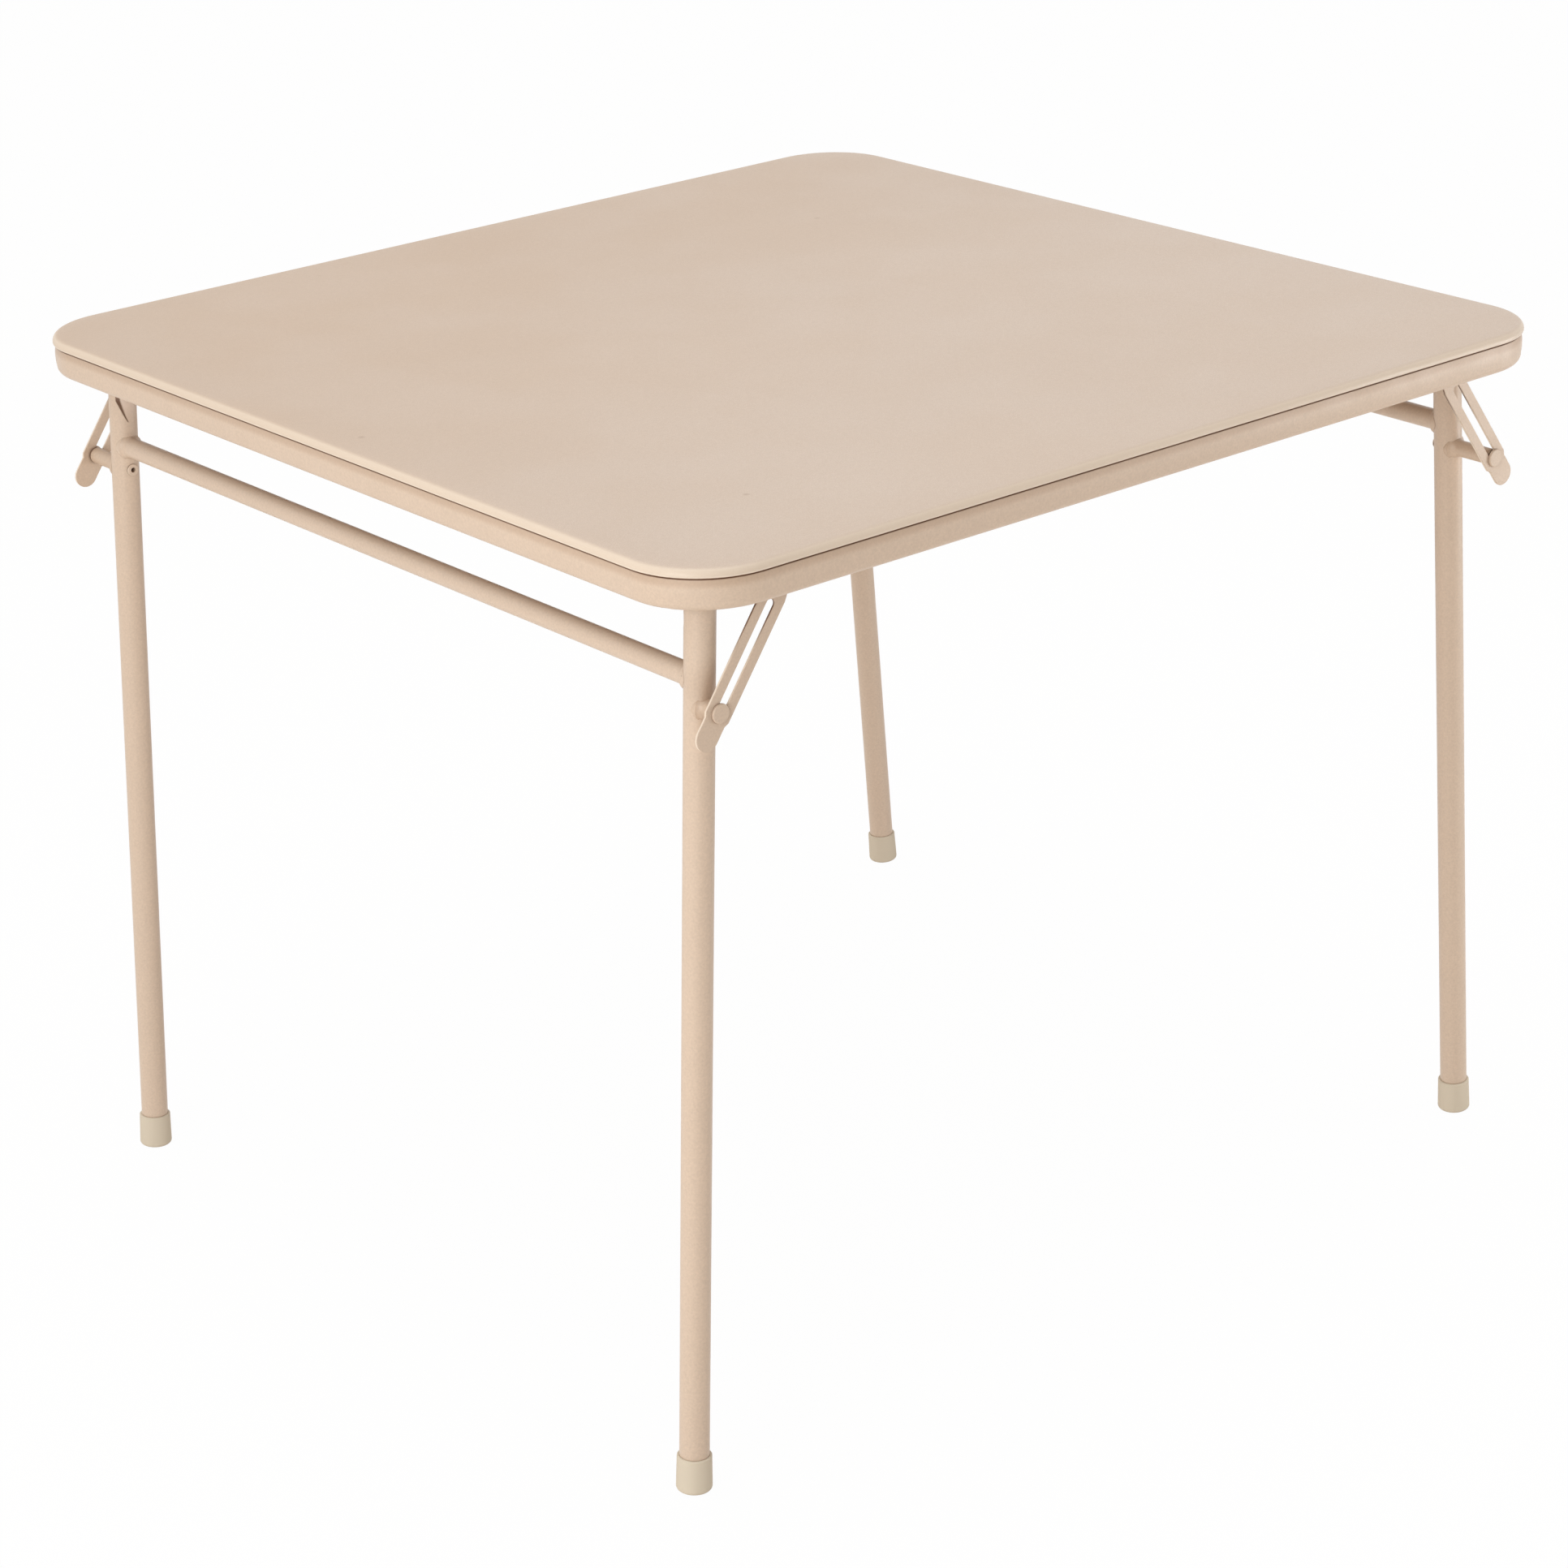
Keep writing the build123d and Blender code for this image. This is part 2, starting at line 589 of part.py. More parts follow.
def leg_tube(corner):
    """Tube with a solid crimped head that is rounded about the pivot."""
    leg_y = corner.leg_y
    foot = CAP_FLOOR - LEG_LENGTH
    tube = leg_cylinder(LEG_RADIUS, foot, LEG_HEAD_RADIUS, leg_y)
    tube -= leg_cylinder(LEG_RADIUS - LEG_WALL, foot - OVERRUN, -LEG_CRIMP_LENGTH, leg_y)
    shank = leg_cylinder(LEG_RADIUS + OVERRUN, foot - OVERRUN, 0, leg_y)
    head = rod(LEG_HEAD_RADIUS, leg_y - LEG_RADIUS - OVERRUN, leg_y + LEG_RADIUS + OVERRUN)
    tube &= shank + head
    tube -= crimp_fold(leg_y)
    seat_y = leg_y + LEG_RADIUS - PIVOT_SEAT_WALL
    tube -= rod(PIVOT_SEAT_RADIUS, leg_y - LEG_RADIUS - OVERRUN, seat_y)
    tube -= rod(PIVOT_RIVET_RADIUS + TURNING_CLEARANCE, leg_y - LEG_RADIUS, leg_y + LEG_RADIUS + OVERRUN)
    rivet_hole = rod(
        RIVET_SHANK_RADIUS + TURNING_CLEARANCE, leg_y - LEG_RADIUS - OVERRUN, leg_y + LEG_RADIUS + OVERRUN
    )
    return from_leg_frame(tube - stud_axis(rivet_hole))


def foot_cap(corner):
    """Slip-on ferrule, a little wider at the floor."""
    bottom = -LEG_LENGTH
    top = bottom + CAP_HEIGHT
    floor = bottom + CAP_FLOOR - SEAT_CLEARANCE
    with BuildSketch(Plane.XZ) as section:
        with BuildLine():
            Line((0, floor), (0, bottom))
            Line((0, bottom), (CAP_BOTTOM_RADIUS - CAP_BOTTOM_ROUND, bottom))
            RadiusArc(
                (CAP_BOTTOM_RADIUS - CAP_BOTTOM_ROUND, bottom),
                (CAP_BOTTOM_RADIUS, bottom + CAP_BOTTOM_ROUND),
                -CAP_BOTTOM_ROUND,
            )
            Line((CAP_BOTTOM_RADIUS, bottom + CAP_BOTTOM_ROUND), (CAP_TOP_RADIUS, top - CAP_TOP_BEVEL))
            Line((CAP_TOP_RADIUS, top - CAP_TOP_BEVEL), (CAP_TOP_RADIUS - CAP_TOP_BEVEL, top))
            Line((CAP_TOP_RADIUS - CAP_TOP_BEVEL, top), (CAP_BORE, top))
            Line((CAP_BORE, top), (CAP_BORE, floor))
            Line((CAP_BORE, floor), (0, floor))
        make_face()
    cap = revolve(section.sketch, axis=Axis.Z)
    return from_leg_frame(Pos(-LEG_AXIS_OFFSET, corner.leg_y, 0) * cap)


def flare(radius, weld_radius, weld_length, weld_depth, leg_y):
    """Weld fillet at the inner side of a leg, thinning towards the middle of the pair."""
    start = leg_y - LEG_RADIUS - weld_length
    root = leg_y - LEG_RADIUS + weld_depth
    with BuildSketch(Plane.XY) as section:
        with BuildLine():
            Line((0, start), (radius, start))
            RadiusArc((radius, start), (weld_radius, root), weld_length + weld_depth)
            Line((weld_radius, root), (weld_radius, leg_y))
            Line((weld_radius, leg_y), (0, leg_y))
            Line((0, leg_y), (0, start))
        make_face()
    return revolve(section.sketch, axis=Axis.Y)


def cross_tube():
    """Tube along Y between the legs of a pair, coped and welded at both ends, in the +X pair's place."""
    tube = rod(CROSS_RADIUS, -NARROW, WIDE)
    wide_flare = flare(CROSS_RADIUS, CROSS_WELD_RADIUS, CROSS_WELD_LENGTH, CROSS_WELD_DEPTH, WIDE)
    narrow_flare = flare(CROSS_RADIUS, CROSS_WELD_RADIUS, CROSS_WELD_LENGTH, CROSS_WELD_DEPTH, NARROW)
    tube += wide_flare + mirror(narrow_flare, about=Plane.XZ)
    tube -= rod(CROSS_RADIUS - CROSS_WALL, -WIDE, WIDE)
    tube = Pos(-LEG_AXIS_OFFSET, 0, -CROSS_DROP) * tube
    for leg_y in (-NARROW, WIDE):
        tube -= leg_cylinder(LEG_RADIUS + SEAT_CLEARANCE, -LEG_LENGTH, 0, leg_y)
    return from_leg_frame(tube)


def spacer_stub(corner):
    """Spacer welded on the outer side of the leg, with a rounded end beside the brace."""
    stub = rod(STUB_RADIUS, corner.leg_y, STUB_END_Y)
    stub = fillet(stub.faces().sort_by(Axis.Y)[-1].edges(), STUB_END_ROUND)
    weld = flare(STUB_RADIUS, STUB_WELD_RADIUS, STUB_WELD_LENGTH, STUB_WELD_DEPTH, 0)
    stub += Pos(0, corner.leg_y, 0) * mirror(weld, about=Plane.XZ)
    stub -= rod(RIVET_SHANK_RADIUS + TURNING_CLEARANCE, corner.leg_y - OVERRUN, STUB_END_Y + OVERRUN)
    stub = stud_axis(stub)
    stub -= leg_cylinder(LEG_RADIUS + SEAT_CLEARANCE, -LEG_LENGTH, 0, corner.leg_y)
    return from_leg_frame(stub)


def slot_rivet(corner):
    """Long rivet through leg, spacer and slot, with a hollow clinched tail and a flat outer head."""
    seat_y = corner.leg_y - LEG_RADIUS - SLIDING_GAP
    rivet = rod(RIVET_SHANK_RADIUS, seat_y, BRACE_INNER_Y)
    rivet += rod(RIVET_SHOULDER_RADIUS, STUB_END_Y + SEAT_CLEARANCE, RIVET_SEAT_Y)
    head = rod(RIVET_HEAD_RADIUS, RIVET_SEAT_Y, RIVET_SEAT_Y + RIVET_HEAD_HEIGHT)
    rivet += fillet(head.faces().sort_by(Axis.Y)[-1].edges(), RIVET_HEAD_ROUND)
    rivet += inward_head(TAIL_RIM_RADIUS, TAIL_RIM_HEIGHT, TAIL_RIM_BEVEL, seat_y)
    tail_end = seat_y - TAIL_RIM_HEIGHT
    rivet -= rod(TAIL_BORE_RADIUS, tail_end - OVERRUN, tail_end + TAIL_BORE_DEPTH)
    return Pos(STUD_X, 0, STUD_Z) * rivet


# Slotted braces


def brace_outline():
    """Face of a brace with the slot rivet at its origin and +Y towards the upper end."""
    half = BRACE_WIDTH / 2
    tab_y = TAB_RADIUS - TAB_LENGTH
    shoulder_low = -BRACE_SHOULDER_DROP - BRACE_SHOULDER_RUN
    narrowing_y = BRACE_LENGTH - BRACE_NARROWING
    with BuildSketch() as outline:
        with BuildLine():
            RadiusArc((-TAB_RADIUS, tab_y), (0, -TAB_LENGTH), -TAB_RADIUS)
            RadiusArc((0, -TAB_LENGTH), (TAB_RADIUS, tab_y), -TAB_RADIUS)
            Line((TAB_RADIUS, tab_y), (TAB_RADIUS, shoulder_low))
            Line((TAB_RADIUS, shoulder_low), (half, -BRACE_SHOULDER_DROP))
            Line((half, -BRACE_SHOULDER_DROP), (half, narrowing_y))
            Line((half, narrowing_y), (BRACE_END_RADIUS, BRACE_LENGTH))
            RadiusArc((BRACE_END_RADIUS, BRACE_LENGTH), (-BRACE_END_RADIUS, BRACE_LENGTH), -BRACE_END_RADIUS)
            Line((-BRACE_END_RADIUS, BRACE_LENGTH), (-half, narrowing_y))
            Line((-half, narrowing_y), (-half, -BRACE_SHOULDER_DROP))
            Line((-half, -BRACE_SHOULDER_DROP), (-TAB_RADIUS, shoulder_low))
            Line((-TAB_RADIUS, shoulder_low), (-TAB_RADIUS, tab_y))
        make_face()
        with Locations((0, SLOT_TRAVEL / 2)):
            SlotCenterToCenter(SLOT_TRAVEL, BRACE_SLOT_WIDTH, rotation=90, mode=Mode.SUBTRACT)
        with Locations((0, BRACE_LENGTH)):
            Circle(BRACE_RIVET_RADIUS + SEAT_CLEARANCE, mode=Mode.SUBTRACT)
    return outline.sketch


def from_brace_frame(shape):
    """Stand a shape drawn on the brace's face upright, tilt it and carry it to the slot rivet."""
    return Pos(STUD_X, 0, STUD_Z) * Rot(0, -BRACE_ANGLE_DEGREES, 0) * Rot(90, 0, 0) * shape


def slotted_brace():
    plate = extrude(brace_outline(), amount=BRACE_THICKNESS)
    flat_faces = plate.faces().filter_by(Axis.Z)
    plate = chamfer(flat_faces.edges(), BRACE_EDGE)
    return Pos(0, BRACE_OUTER_Y, 0) * from_brace_frame(plate)


def brace_rivet():
    rivet = rod(BRACE_RIVET_RADIUS, BRACE_INNER_Y, RIVET_SEAT_Y)
    seat_y = BRACE_OUTER_Y + SEAT_CLEARANCE
    rivet += outward_head(BRACE_RIVET_HEAD_RADIUS, BRACE_RIVET_HEAD_HEIGHT, BRACE_RIVET_HEAD_BEVEL, seat_y)
    return Pos(POST_X, 0, POST_Z) * rivet


def build_top():
    save(vinyl_cover(), "vinyl_cover")
    save(top_padding(), "top_padding")
    save(table_board(), "table_board")
    save(apron_rail(), "apron_rail")
    save_group(panel_screws(), "panel_screws")


def build_hinges():
    save_group(bracket_rivets(), "bracket_rivets")
    save_group([at_corner(leg_pivot_rivet(corner), corner) for corner in CORNERS], "leg_pivot_rivets")
    for name, leg_y in (("bracket_posts_long", NARROW), ("bracket_posts_short", WIDE)):
        save_group([at_corner(bracket_post(c), c) for c in CORNERS if c.leg_y == leg_y], name)
    for corner in CORNERS:
        save(at_corner(hinge_bracket(corner), corner), f"hinge_bracket_{corner.name}")


def build_legs():
    tube = cross_tube()
    save(tube, "cross_tube_b")
    save(Rot(0, 0, 180) * tube, "cross_tube_a")
    for corner in CORNERS:
        save(at_corner(leg_tube(corner), corner), f"leg_tube_{corner.name}")
        save(at_corner(foot_cap(corner), corner), f"foot_cap_{corner.name}")
        save(at_corner(spacer_stub(corner), corner), f"spacer_stub_{corner.name}")
        save(at_corner(slot_rivet(corner), corner), f"slot_rivet_{corner.name}")


def build_braces():
    for corner in CORNERS:
        save(at_corner(slotted_brace(), corner), f"slotted_brace_{corner.name}")
        save(at_corner(brace_rivet(), corner), f"brace_rivet_{corner.name}")


if __name__ == "__main__":
    os.makedirs("parts", exist_ok=True)
    build_top()
    build_hinges()
    build_legs()
    build_braces()
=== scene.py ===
"""Looks of the folding card table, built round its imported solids."""

import logging
import math
from abc import ABC, abstractmethod
from dataclasses import dataclass, field
from enum import Enum
from typing import Dict, Iterable, List, Optional, Sequence, Tuple

import bmesh
import bpy
from mathutils import Matrix, Vector, noise


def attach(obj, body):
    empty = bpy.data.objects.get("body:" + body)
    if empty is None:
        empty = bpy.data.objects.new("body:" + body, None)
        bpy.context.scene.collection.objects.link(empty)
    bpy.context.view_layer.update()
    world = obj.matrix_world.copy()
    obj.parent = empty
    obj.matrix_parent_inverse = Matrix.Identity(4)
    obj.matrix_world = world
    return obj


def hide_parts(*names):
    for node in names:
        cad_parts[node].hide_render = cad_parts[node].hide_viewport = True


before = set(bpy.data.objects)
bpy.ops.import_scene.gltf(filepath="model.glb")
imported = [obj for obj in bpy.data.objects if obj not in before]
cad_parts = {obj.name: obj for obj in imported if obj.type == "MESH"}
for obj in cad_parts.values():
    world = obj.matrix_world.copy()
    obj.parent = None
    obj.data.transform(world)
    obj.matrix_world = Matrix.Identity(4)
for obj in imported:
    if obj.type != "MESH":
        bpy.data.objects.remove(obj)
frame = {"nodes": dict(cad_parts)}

Colour = Tuple[float, float, float]
Point = Tuple[float, float, float]
Mark = Tuple[Point, float]
Piece = bpy.types.Object
Wire = bpy.types.NodeSocket
Wires = Dict[str, bpy.types.NodeSocket]
Sockets = bpy.types.NodeOutputs

# Dark dots painted as the shade inside small weld craters, with their radius.
WELD_PIT_SHADES: Tuple[Mark, ...] = (
    ((-0.38998, 0.34761, 0.6275), 0.0021),
    ((-0.39958, -0.37818, 0.623), 0.0017),
)

# Places on the legs behind the braces, with their reach, where painted shade darkens the enamel.
BRACE_SHADE_PLACES: Tuple[Mark, ...] = (
    ((-0.3825, -0.392, 0.617), 0.027),
    ((0.3825, 0.392, 0.617), 0.027),
)

RIPPLE_LAYER = 0.37
RIPPLE_GAIN = 1.7

log = logging.getLogger("card_table")


def srgb(red: int, green: int, blue: int) -> Colour:
    """Turn a colour as a screen shows it into the linear values that shaders use.

    Args:
        red: Red from 0 to 255.
        green: Green from 0 to 255.
        blue: Blue from 0 to 255.

    Returns:
        The linear colour.
    """

    def linear(channel: int) -> float:
        """Linear value of one channel."""
        share = channel / 255
        return share / 12.92 if share <= 0.04045 else ((share + 0.055) / 1.055) ** 2.4

    return linear(red), linear(green), linear(blue)


def link(name: str, data: bpy.types.ID) -> bpy.types.Object:
    """Make an object of some data and put it in the scene.

    Args:
        name: The object's name.
        data: Its mesh, lamp or camera.

    Returns:
        The new object.
    """
    made = bpy.data.objects.new(name, data)
    bpy.context.scene.collection.objects.link(made)
    return made


def ripple(x: float, y: float, scale: float) -> float:
    """Smooth repeatable unevenness between about -1 and 1.

    Args:
        x: Place along X, in metres.
        y: Place along Y, in metres.
        scale: Ripples to the metre, roughly.

    Returns:
        The unevenness there.
    """
    return noise.noise(Vector((x * scale, y * scale, RIPPLE_LAYER))) * RIPPLE_GAIN


class Socket(Enum):
    """Kinds of socket that a node group has."""

    COLOUR = "NodeSocketColor"
    VALUE = "NodeSocketFloat"
    VECTOR = "NodeSocketVector"


class Graph:
    """Adds nodes to one node tree and joins them."""

    def __init__(self, tree: bpy.types.NodeTree) -> None:
        """Keep the tree that the nodes go into.

        Args:
            tree: The node tree of a material, a world or a group.
        """
        self.tree = tree

    def add(
        self, kind: str, values: Optional[Dict[object, object]] = None, **settings: object
    ) -> bpy.types.Node:
        """Add a node, set its options and fill its sockets.

        Args:
            kind: The node's type name.
            values: Socket names or numbers, each with a value or a socket to link from.
            **settings: Options of the node itself.

        Returns:
            The new node.
        """
        node = self.tree.nodes.new(kind)
        for name, value in settings.items():
            setattr(node, name, value)
        for name, value in (values or {}).items():
            self.feed(node.inputs[name], value)
        return node

    def feed(self, socket: Wire, value: object) -> None:
        """Link or set one socket.

        Args:
            socket: The input to fill.
            value: An output socket to link from, or a plain value.
        """
        if isinstance(value, Wire):
            self.tree.links.new(value, socket)
        elif isinstance(value, tuple) and len(value) == 3 and socket.type == "RGBA":
            socket.default_value = (*value, 1.0)
        else:
            socket.default_value = value

    def math(self, operation: str, *terms: object, clamp: bool = False) -> Wire:
        """Add a Math node.

        Args:
            operation: The operation's name.
            *terms: Sockets or numbers.
            clamp: Whether the result stays between 0 and 1.

        Returns:
            The result's socket.
        """
        values = dict(enumerate(terms))
        return self.add("ShaderNodeMath", values, operation=operation, use_clamp=clamp).outputs[0]

    def blend(self, share: object, first: object, second: object, mode: str = "MIX") -> Wire:
        """Mix two colours.

        Args:
            share: How much of the second colour shows.
            first: The first colour.
            second: The second colour.
            mode: The blending mode.

        Returns:
            The mixed colour's socket.
        """
        node = self.add("ShaderNodeMix", {0: share, 6: first, 7: second}, data_type="RGBA", blend_type=mode)
        return node.outputs[2]

    def tint(self, colour: object, over: object, mask: object, amount: float) -> Wire:
        """Lay one colour over another where a mask shows.

        Args:
            colour: The colour below.
            over: The colour laid over it.
            mask: The mask's socket.
            amount: How much of it shows where the mask is whole.

        Returns:
            The mixed colour's socket.
        """
        return self.blend(self.math("MULTIPLY", mask, amount), colour, over)

    def ramp(
        self, value: object, low: float, high: float, low_out: float = 0.0, high_out: float = 1.0
    ) -> Wire:
        """Map a range of values to another, smoothly and clamped.

        Args:
            value: The value's socket.
            low: Start of the range.
            high: End of the range.
            low_out: Result at the start.
            high_out: Result at the end.

        Returns:
            The result's socket.
        """
        values = {0: value, 1: low, 2: high, 3: low_out, 4: high_out}
        return self.add("ShaderNodeMapRange", values, interpolation_type="SMOOTHSTEP").outputs[0]

    def place(self) -> Wire:
        """Coordinates that stay with the piece, in metres."""
        return self.add("ShaderNodeTexCoord").outputs["Object"]

    def split(self, vector: Wire) -> Sockets:
        """The three parts of a vector."""
        return self.add("ShaderNodeSeparateXYZ", {0: vector}).outputs

    def noise(self, scale: object, detail: float = 2.0, place: Optional[Wire] = None) -> Wire:
        """Add a Noise texture.

        Args:
            scale: Its scale.
            detail: Its detail.
            place: The coordinates, if they aren't the piece's own.

        Returns:
            The noise's value.
        """
        values = {"Vector": self.place() if place is None else place, "Scale": scale, "Detail": detail}
        return self.add("ShaderNodeTexNoise", values).outputs[0]

    def seen(self) -> Wire:
        """Mask of the rays that show the scene, in the open, in a gloss or through glass.

        Returns:
            The mask's socket.
        """
        path = self.add("ShaderNodeLightPath").outputs
        seen = self.math("MAXIMUM", path["Is Camera Ray"], path["Is Glossy Ray"])
        return self.math("MAXIMUM", seen, path["Is Transmission Ray"])


class Effect(ABC):
    """A surface effect that several materials share, kept as one node group."""

    name: str
    inputs: Dict[str, Tuple[Socket, object]]
    outputs: Dict[str, Socket]

    def group(self) -> bpy.types.NodeTree:
        """Find the group, or build it the first time.

        Returns:
            The node group.
        """
        known = bpy.data.node_groups.get(self.name)
        if known is not None:
            return known
        tree = bpy.data.node_groups.new(self.name, "ShaderNodeTree")
        for name, (kind, value) in self.inputs.items():
            made = tree.interface.new_socket(name, in_out="INPUT", socket_type=kind.value)
            made.default_value = (*value, 1.0) if kind is Socket.COLOUR else value
        for name, kind in self.outputs.items():
            tree.interface.new_socket(name, in_out="OUTPUT", socket_type=kind.value)
        graph = Graph(tree)
        source = graph.add("NodeGroupInput").outputs
        wires = self.wire(graph, source)
        sink = graph.add("NodeGroupOutput")
        for name, value in wires.items():
            graph.feed(sink.inputs[name], value)
        return tree

    @abstractmethod
    def wire(self, graph: Graph, source: Sockets) -> Wires:
        """Build the group's inside.

        Args:
            graph: The group's graph.
            source: The sockets that bring in the group's inputs.

        Returns:
            A socket for each of the group's outputs.
        """

    def use(self, graph: Graph, **values: object) -> Sockets:
        """Place the group in a material.

        Args:
            graph: The material's graph.
            **values: Values or sockets for the inputs, with _ for a space.

        Returns:
            The placed group's outputs.
        """
        node = graph.add("ShaderNodeGroup", node_tree=self.group())
        for name, value in values.items():
            graph.feed(node.inputs[name.replace("_", " ")], value)
        return node.outputs


class CloudyTone(Effect):
    """Broad and fine drifts of tone, as in any batch of paint or sheet."""

    name = "cloudy_tone"
    inputs = {
        "Colour": (Socket.COLOUR, (0.5, 0.5, 0.5)),
        "Broad Scale": (Socket.VALUE, 6.0),
        "Fine Scale": (Socket.VALUE, 400.0),
        "Broad Amount": (Socket.VALUE, 0.04),
        "Fine Amount": (Socket.VALUE, 0.04),
    }
    outputs = {"Colour": Socket.COLOUR}

    def wire(self, graph: Graph, source: Sockets) -> Wires:
        """Build two scales of noise that brighten and darken the colour.

        Args:
            graph: The group's graph.
            source: The sockets that bring in the group's inputs.

        Returns:
            A socket for each of the group's outputs.
        """
        place = graph.place()
        total: object = 1.0
        octaves = (("Broad Scale", "Broad Amount", 3.0), ("Fine Scale", "Fine Amount", 2.0))
        for scale, amount, detail in octaves:
            drift = graph.noise(source[scale], detail, place)
            swing = graph.math("MULTIPLY", graph.math("SUBTRACT", drift, 0.5), 2.0)
            total = graph.math("ADD", total, graph.math("MULTIPLY", swing, source[amount]))
        tone = graph.add("ShaderNodeCombineColor", {0: total, 1: total, 2: total}).outputs[0]
        return {"Colour": graph.blend(1.0, source["Colour"], tone, "MULTIPLY")}


class Specks(Effect):
    """Scattered small marks, each in its own cell, so that only some cells have one."""

    name = "specks"
    inputs = {
        "Cells": (Socket.VALUE, 40.0),
        "Size": (Socket.VALUE, 0.06),
        "Share": (Socket.VALUE, 0.3),
    }
    outputs = {"Mask": Socket.VALUE}
    least_size = 0.35
    edge_curve = 0.6

    def wire(self, graph: Graph, source: Sockets) -> Wires:
        """Build a mask of soft dots in a share of the cells.

        Args:
            graph: The group's graph.
            source: The sockets that bring in the group's inputs.

        Returns:
            A socket for each of the group's outputs.
        """
        values = {"Vector": graph.place(), "Scale": source["Cells"]}
        cells = graph.add("ShaderNodeTexVoronoi", values)
        hue = graph.add("ShaderNodeSeparateColor", {0: cells.outputs["Color"]}).outputs
        radius = graph.math("MULTIPLY", source["Size"], graph.math("ADD", hue[1], self.least_size))
        reached = graph.math("DIVIDE", cells.outputs["Distance"], radius)
        dot = graph.math("SUBTRACT", 1.0, reached, clamp=True)
        chosen = graph.math("LESS_THAN", hue[0], source["Share"])
        return {"Mask": graph.math("MULTIPLY", graph.math("POWER", dot, self.edge_curve), chosen)}


class PebbleGrain(Effect):
    """Embossed leather-like grain of soft vinyl: small cushions with creases between them."""

    name = "pebble_grain"
    inputs = {
        "Scale": (Socket.VALUE, 600.0),
        "Bend Scale": (Socket.VALUE, 220.0),
        "Bend": (Socket.VALUE, 0.0016),
        "Cushion": (Socket.VALUE, 0.34),
    }
    outputs = {"Height": Socket.VALUE, "Crease": Socket.VALUE}

    def wire(self, graph: Graph, source: Sockets) -> Wires:
        """Build cells that noise has bent, with rounded tops.

        Args:
            graph: The group's graph.
            source: The sockets that bring in the group's inputs.

        Returns:
            A socket for each of the group's outputs.
        """
        place = graph.place()
        values = {"Vector": place, "Scale": source["Bend Scale"], "Detail": 2.0}
        bend = graph.add("ShaderNodeTexNoise", values).outputs["Color"]
        shift = graph.add("ShaderNodeVectorMath", {0: bend, 3: source["Bend"]}, operation="SCALE")
        bent = graph.add("ShaderNodeVectorMath", {0: place, 1: shift.outputs[0]}, operation="ADD")
        values = {"Vector": bent.outputs[0], "Scale": source["Scale"]}
        cells = graph.add("ShaderNodeTexVoronoi", values, feature="DISTANCE_TO_EDGE")
        height = graph.ramp(cells.outputs["Distance"], low=0.0, high=source["Cushion"])
        return {"Height": height, "Crease": graph.math("SUBTRACT", 1.0, height)}


class OrangePeel(Effect):
    """Dimpled skin of sprayed and baked paint."""

    name = "orange_peel"
    inputs = {
        "Scale": (Socket.VALUE, 520.0),
        "Finer": (Socket.VALUE, 2.7),
        "Fine Share": (Socket.VALUE, 0.45),
    }
    outputs = {"Height": Socket.VALUE}

    def wire(self, graph: Graph, source: Sockets) -> Wires:
        """Build two octaves of rounded noise.

        Args:
            graph: The group's graph.
            source: The sockets that bring in the group's inputs.

        Returns:
            A socket for each of the group's outputs.
        """
        place = graph.place()
        dimples = graph.noise(source["Scale"], detail=1.0, place=place)
        dust = graph.noise(graph.math("MULTIPLY", source["Scale"], source["Finer"]), place=place)
        height = graph.math("ADD", dimples, graph.math("MULTIPLY", dust, source["Fine Share"]))
        return {"Height": height}


class EdgeRub(Effect):
    """Broken mask along sharp edges, where handling thins the paint; with Whole set, the rivets use it for
    a painted highlight on their rims.
    """

    name = "edge_rub"
    inputs = {
        "Width": (Socket.VALUE, 0.0012),
        "Break Scale": (Socket.VALUE, 130.0),
        "Whole": (Socket.VALUE, 0.0),
    }
    outputs = {"Mask": Socket.VALUE}

    def wire(self, graph: Graph, source: Sockets) -> Wires:
        """Compare the rounded normal with the true one and break up the result.

        Args:
            graph: The group's graph.
            source: The sockets that bring in the group's inputs.

        Returns:
            A socket for each of the group's outputs.
        """
        rounded = graph.add("ShaderNodeBevel", {"Radius": source["Width"]}, samples=4)
        true = graph.add("ShaderNodeNewGeometry").outputs["Normal"]
        values = {0: rounded.outputs[0], 1: true}
        match = graph.add("ShaderNodeVectorMath", values, operation="DOT_PRODUCT").outputs["Value"]
        edge = graph.ramp(match, low=0.985, high=0.86)
        breaks = graph.noise(source["Break Scale"])
        kept = graph.math("MAXIMUM", graph.ramp(breaks, low=0.42, high=0.62), source["Whole"])
        return {"Mask": graph.math("MULTIPLY", edge, kept)}


class FloorScuff(Effect):
    """Dirt and rubbing that grow towards the floor."""

    name = "floor_scuff"
    inputs = {"Reach": (Socket.VALUE, 0.03), "Scale": (Socket.VALUE, 240.0)}
    outputs = {"Mask": Socket.VALUE}

    def wire(self, graph: Graph, source: Sockets) -> Wires:
        """Fade noise out with height above the floor.

        Args:
            graph: The group's graph.
            source: The sockets that bring in the group's inputs.

        Returns:
            A socket for each of the group's outputs.
        """
        place = graph.place()
        height = graph.split(place)[2]
        near = graph.math("SUBTRACT", 1.0, graph.math("DIVIDE", height, source["Reach"]), clamp=True)
        rub = graph.noise(source["Scale"], detail=4.0, place=place)
        return {"Mask": graph.math("MULTIPLY", near, graph.ramp(rub, low=0.4, high=0.68))}


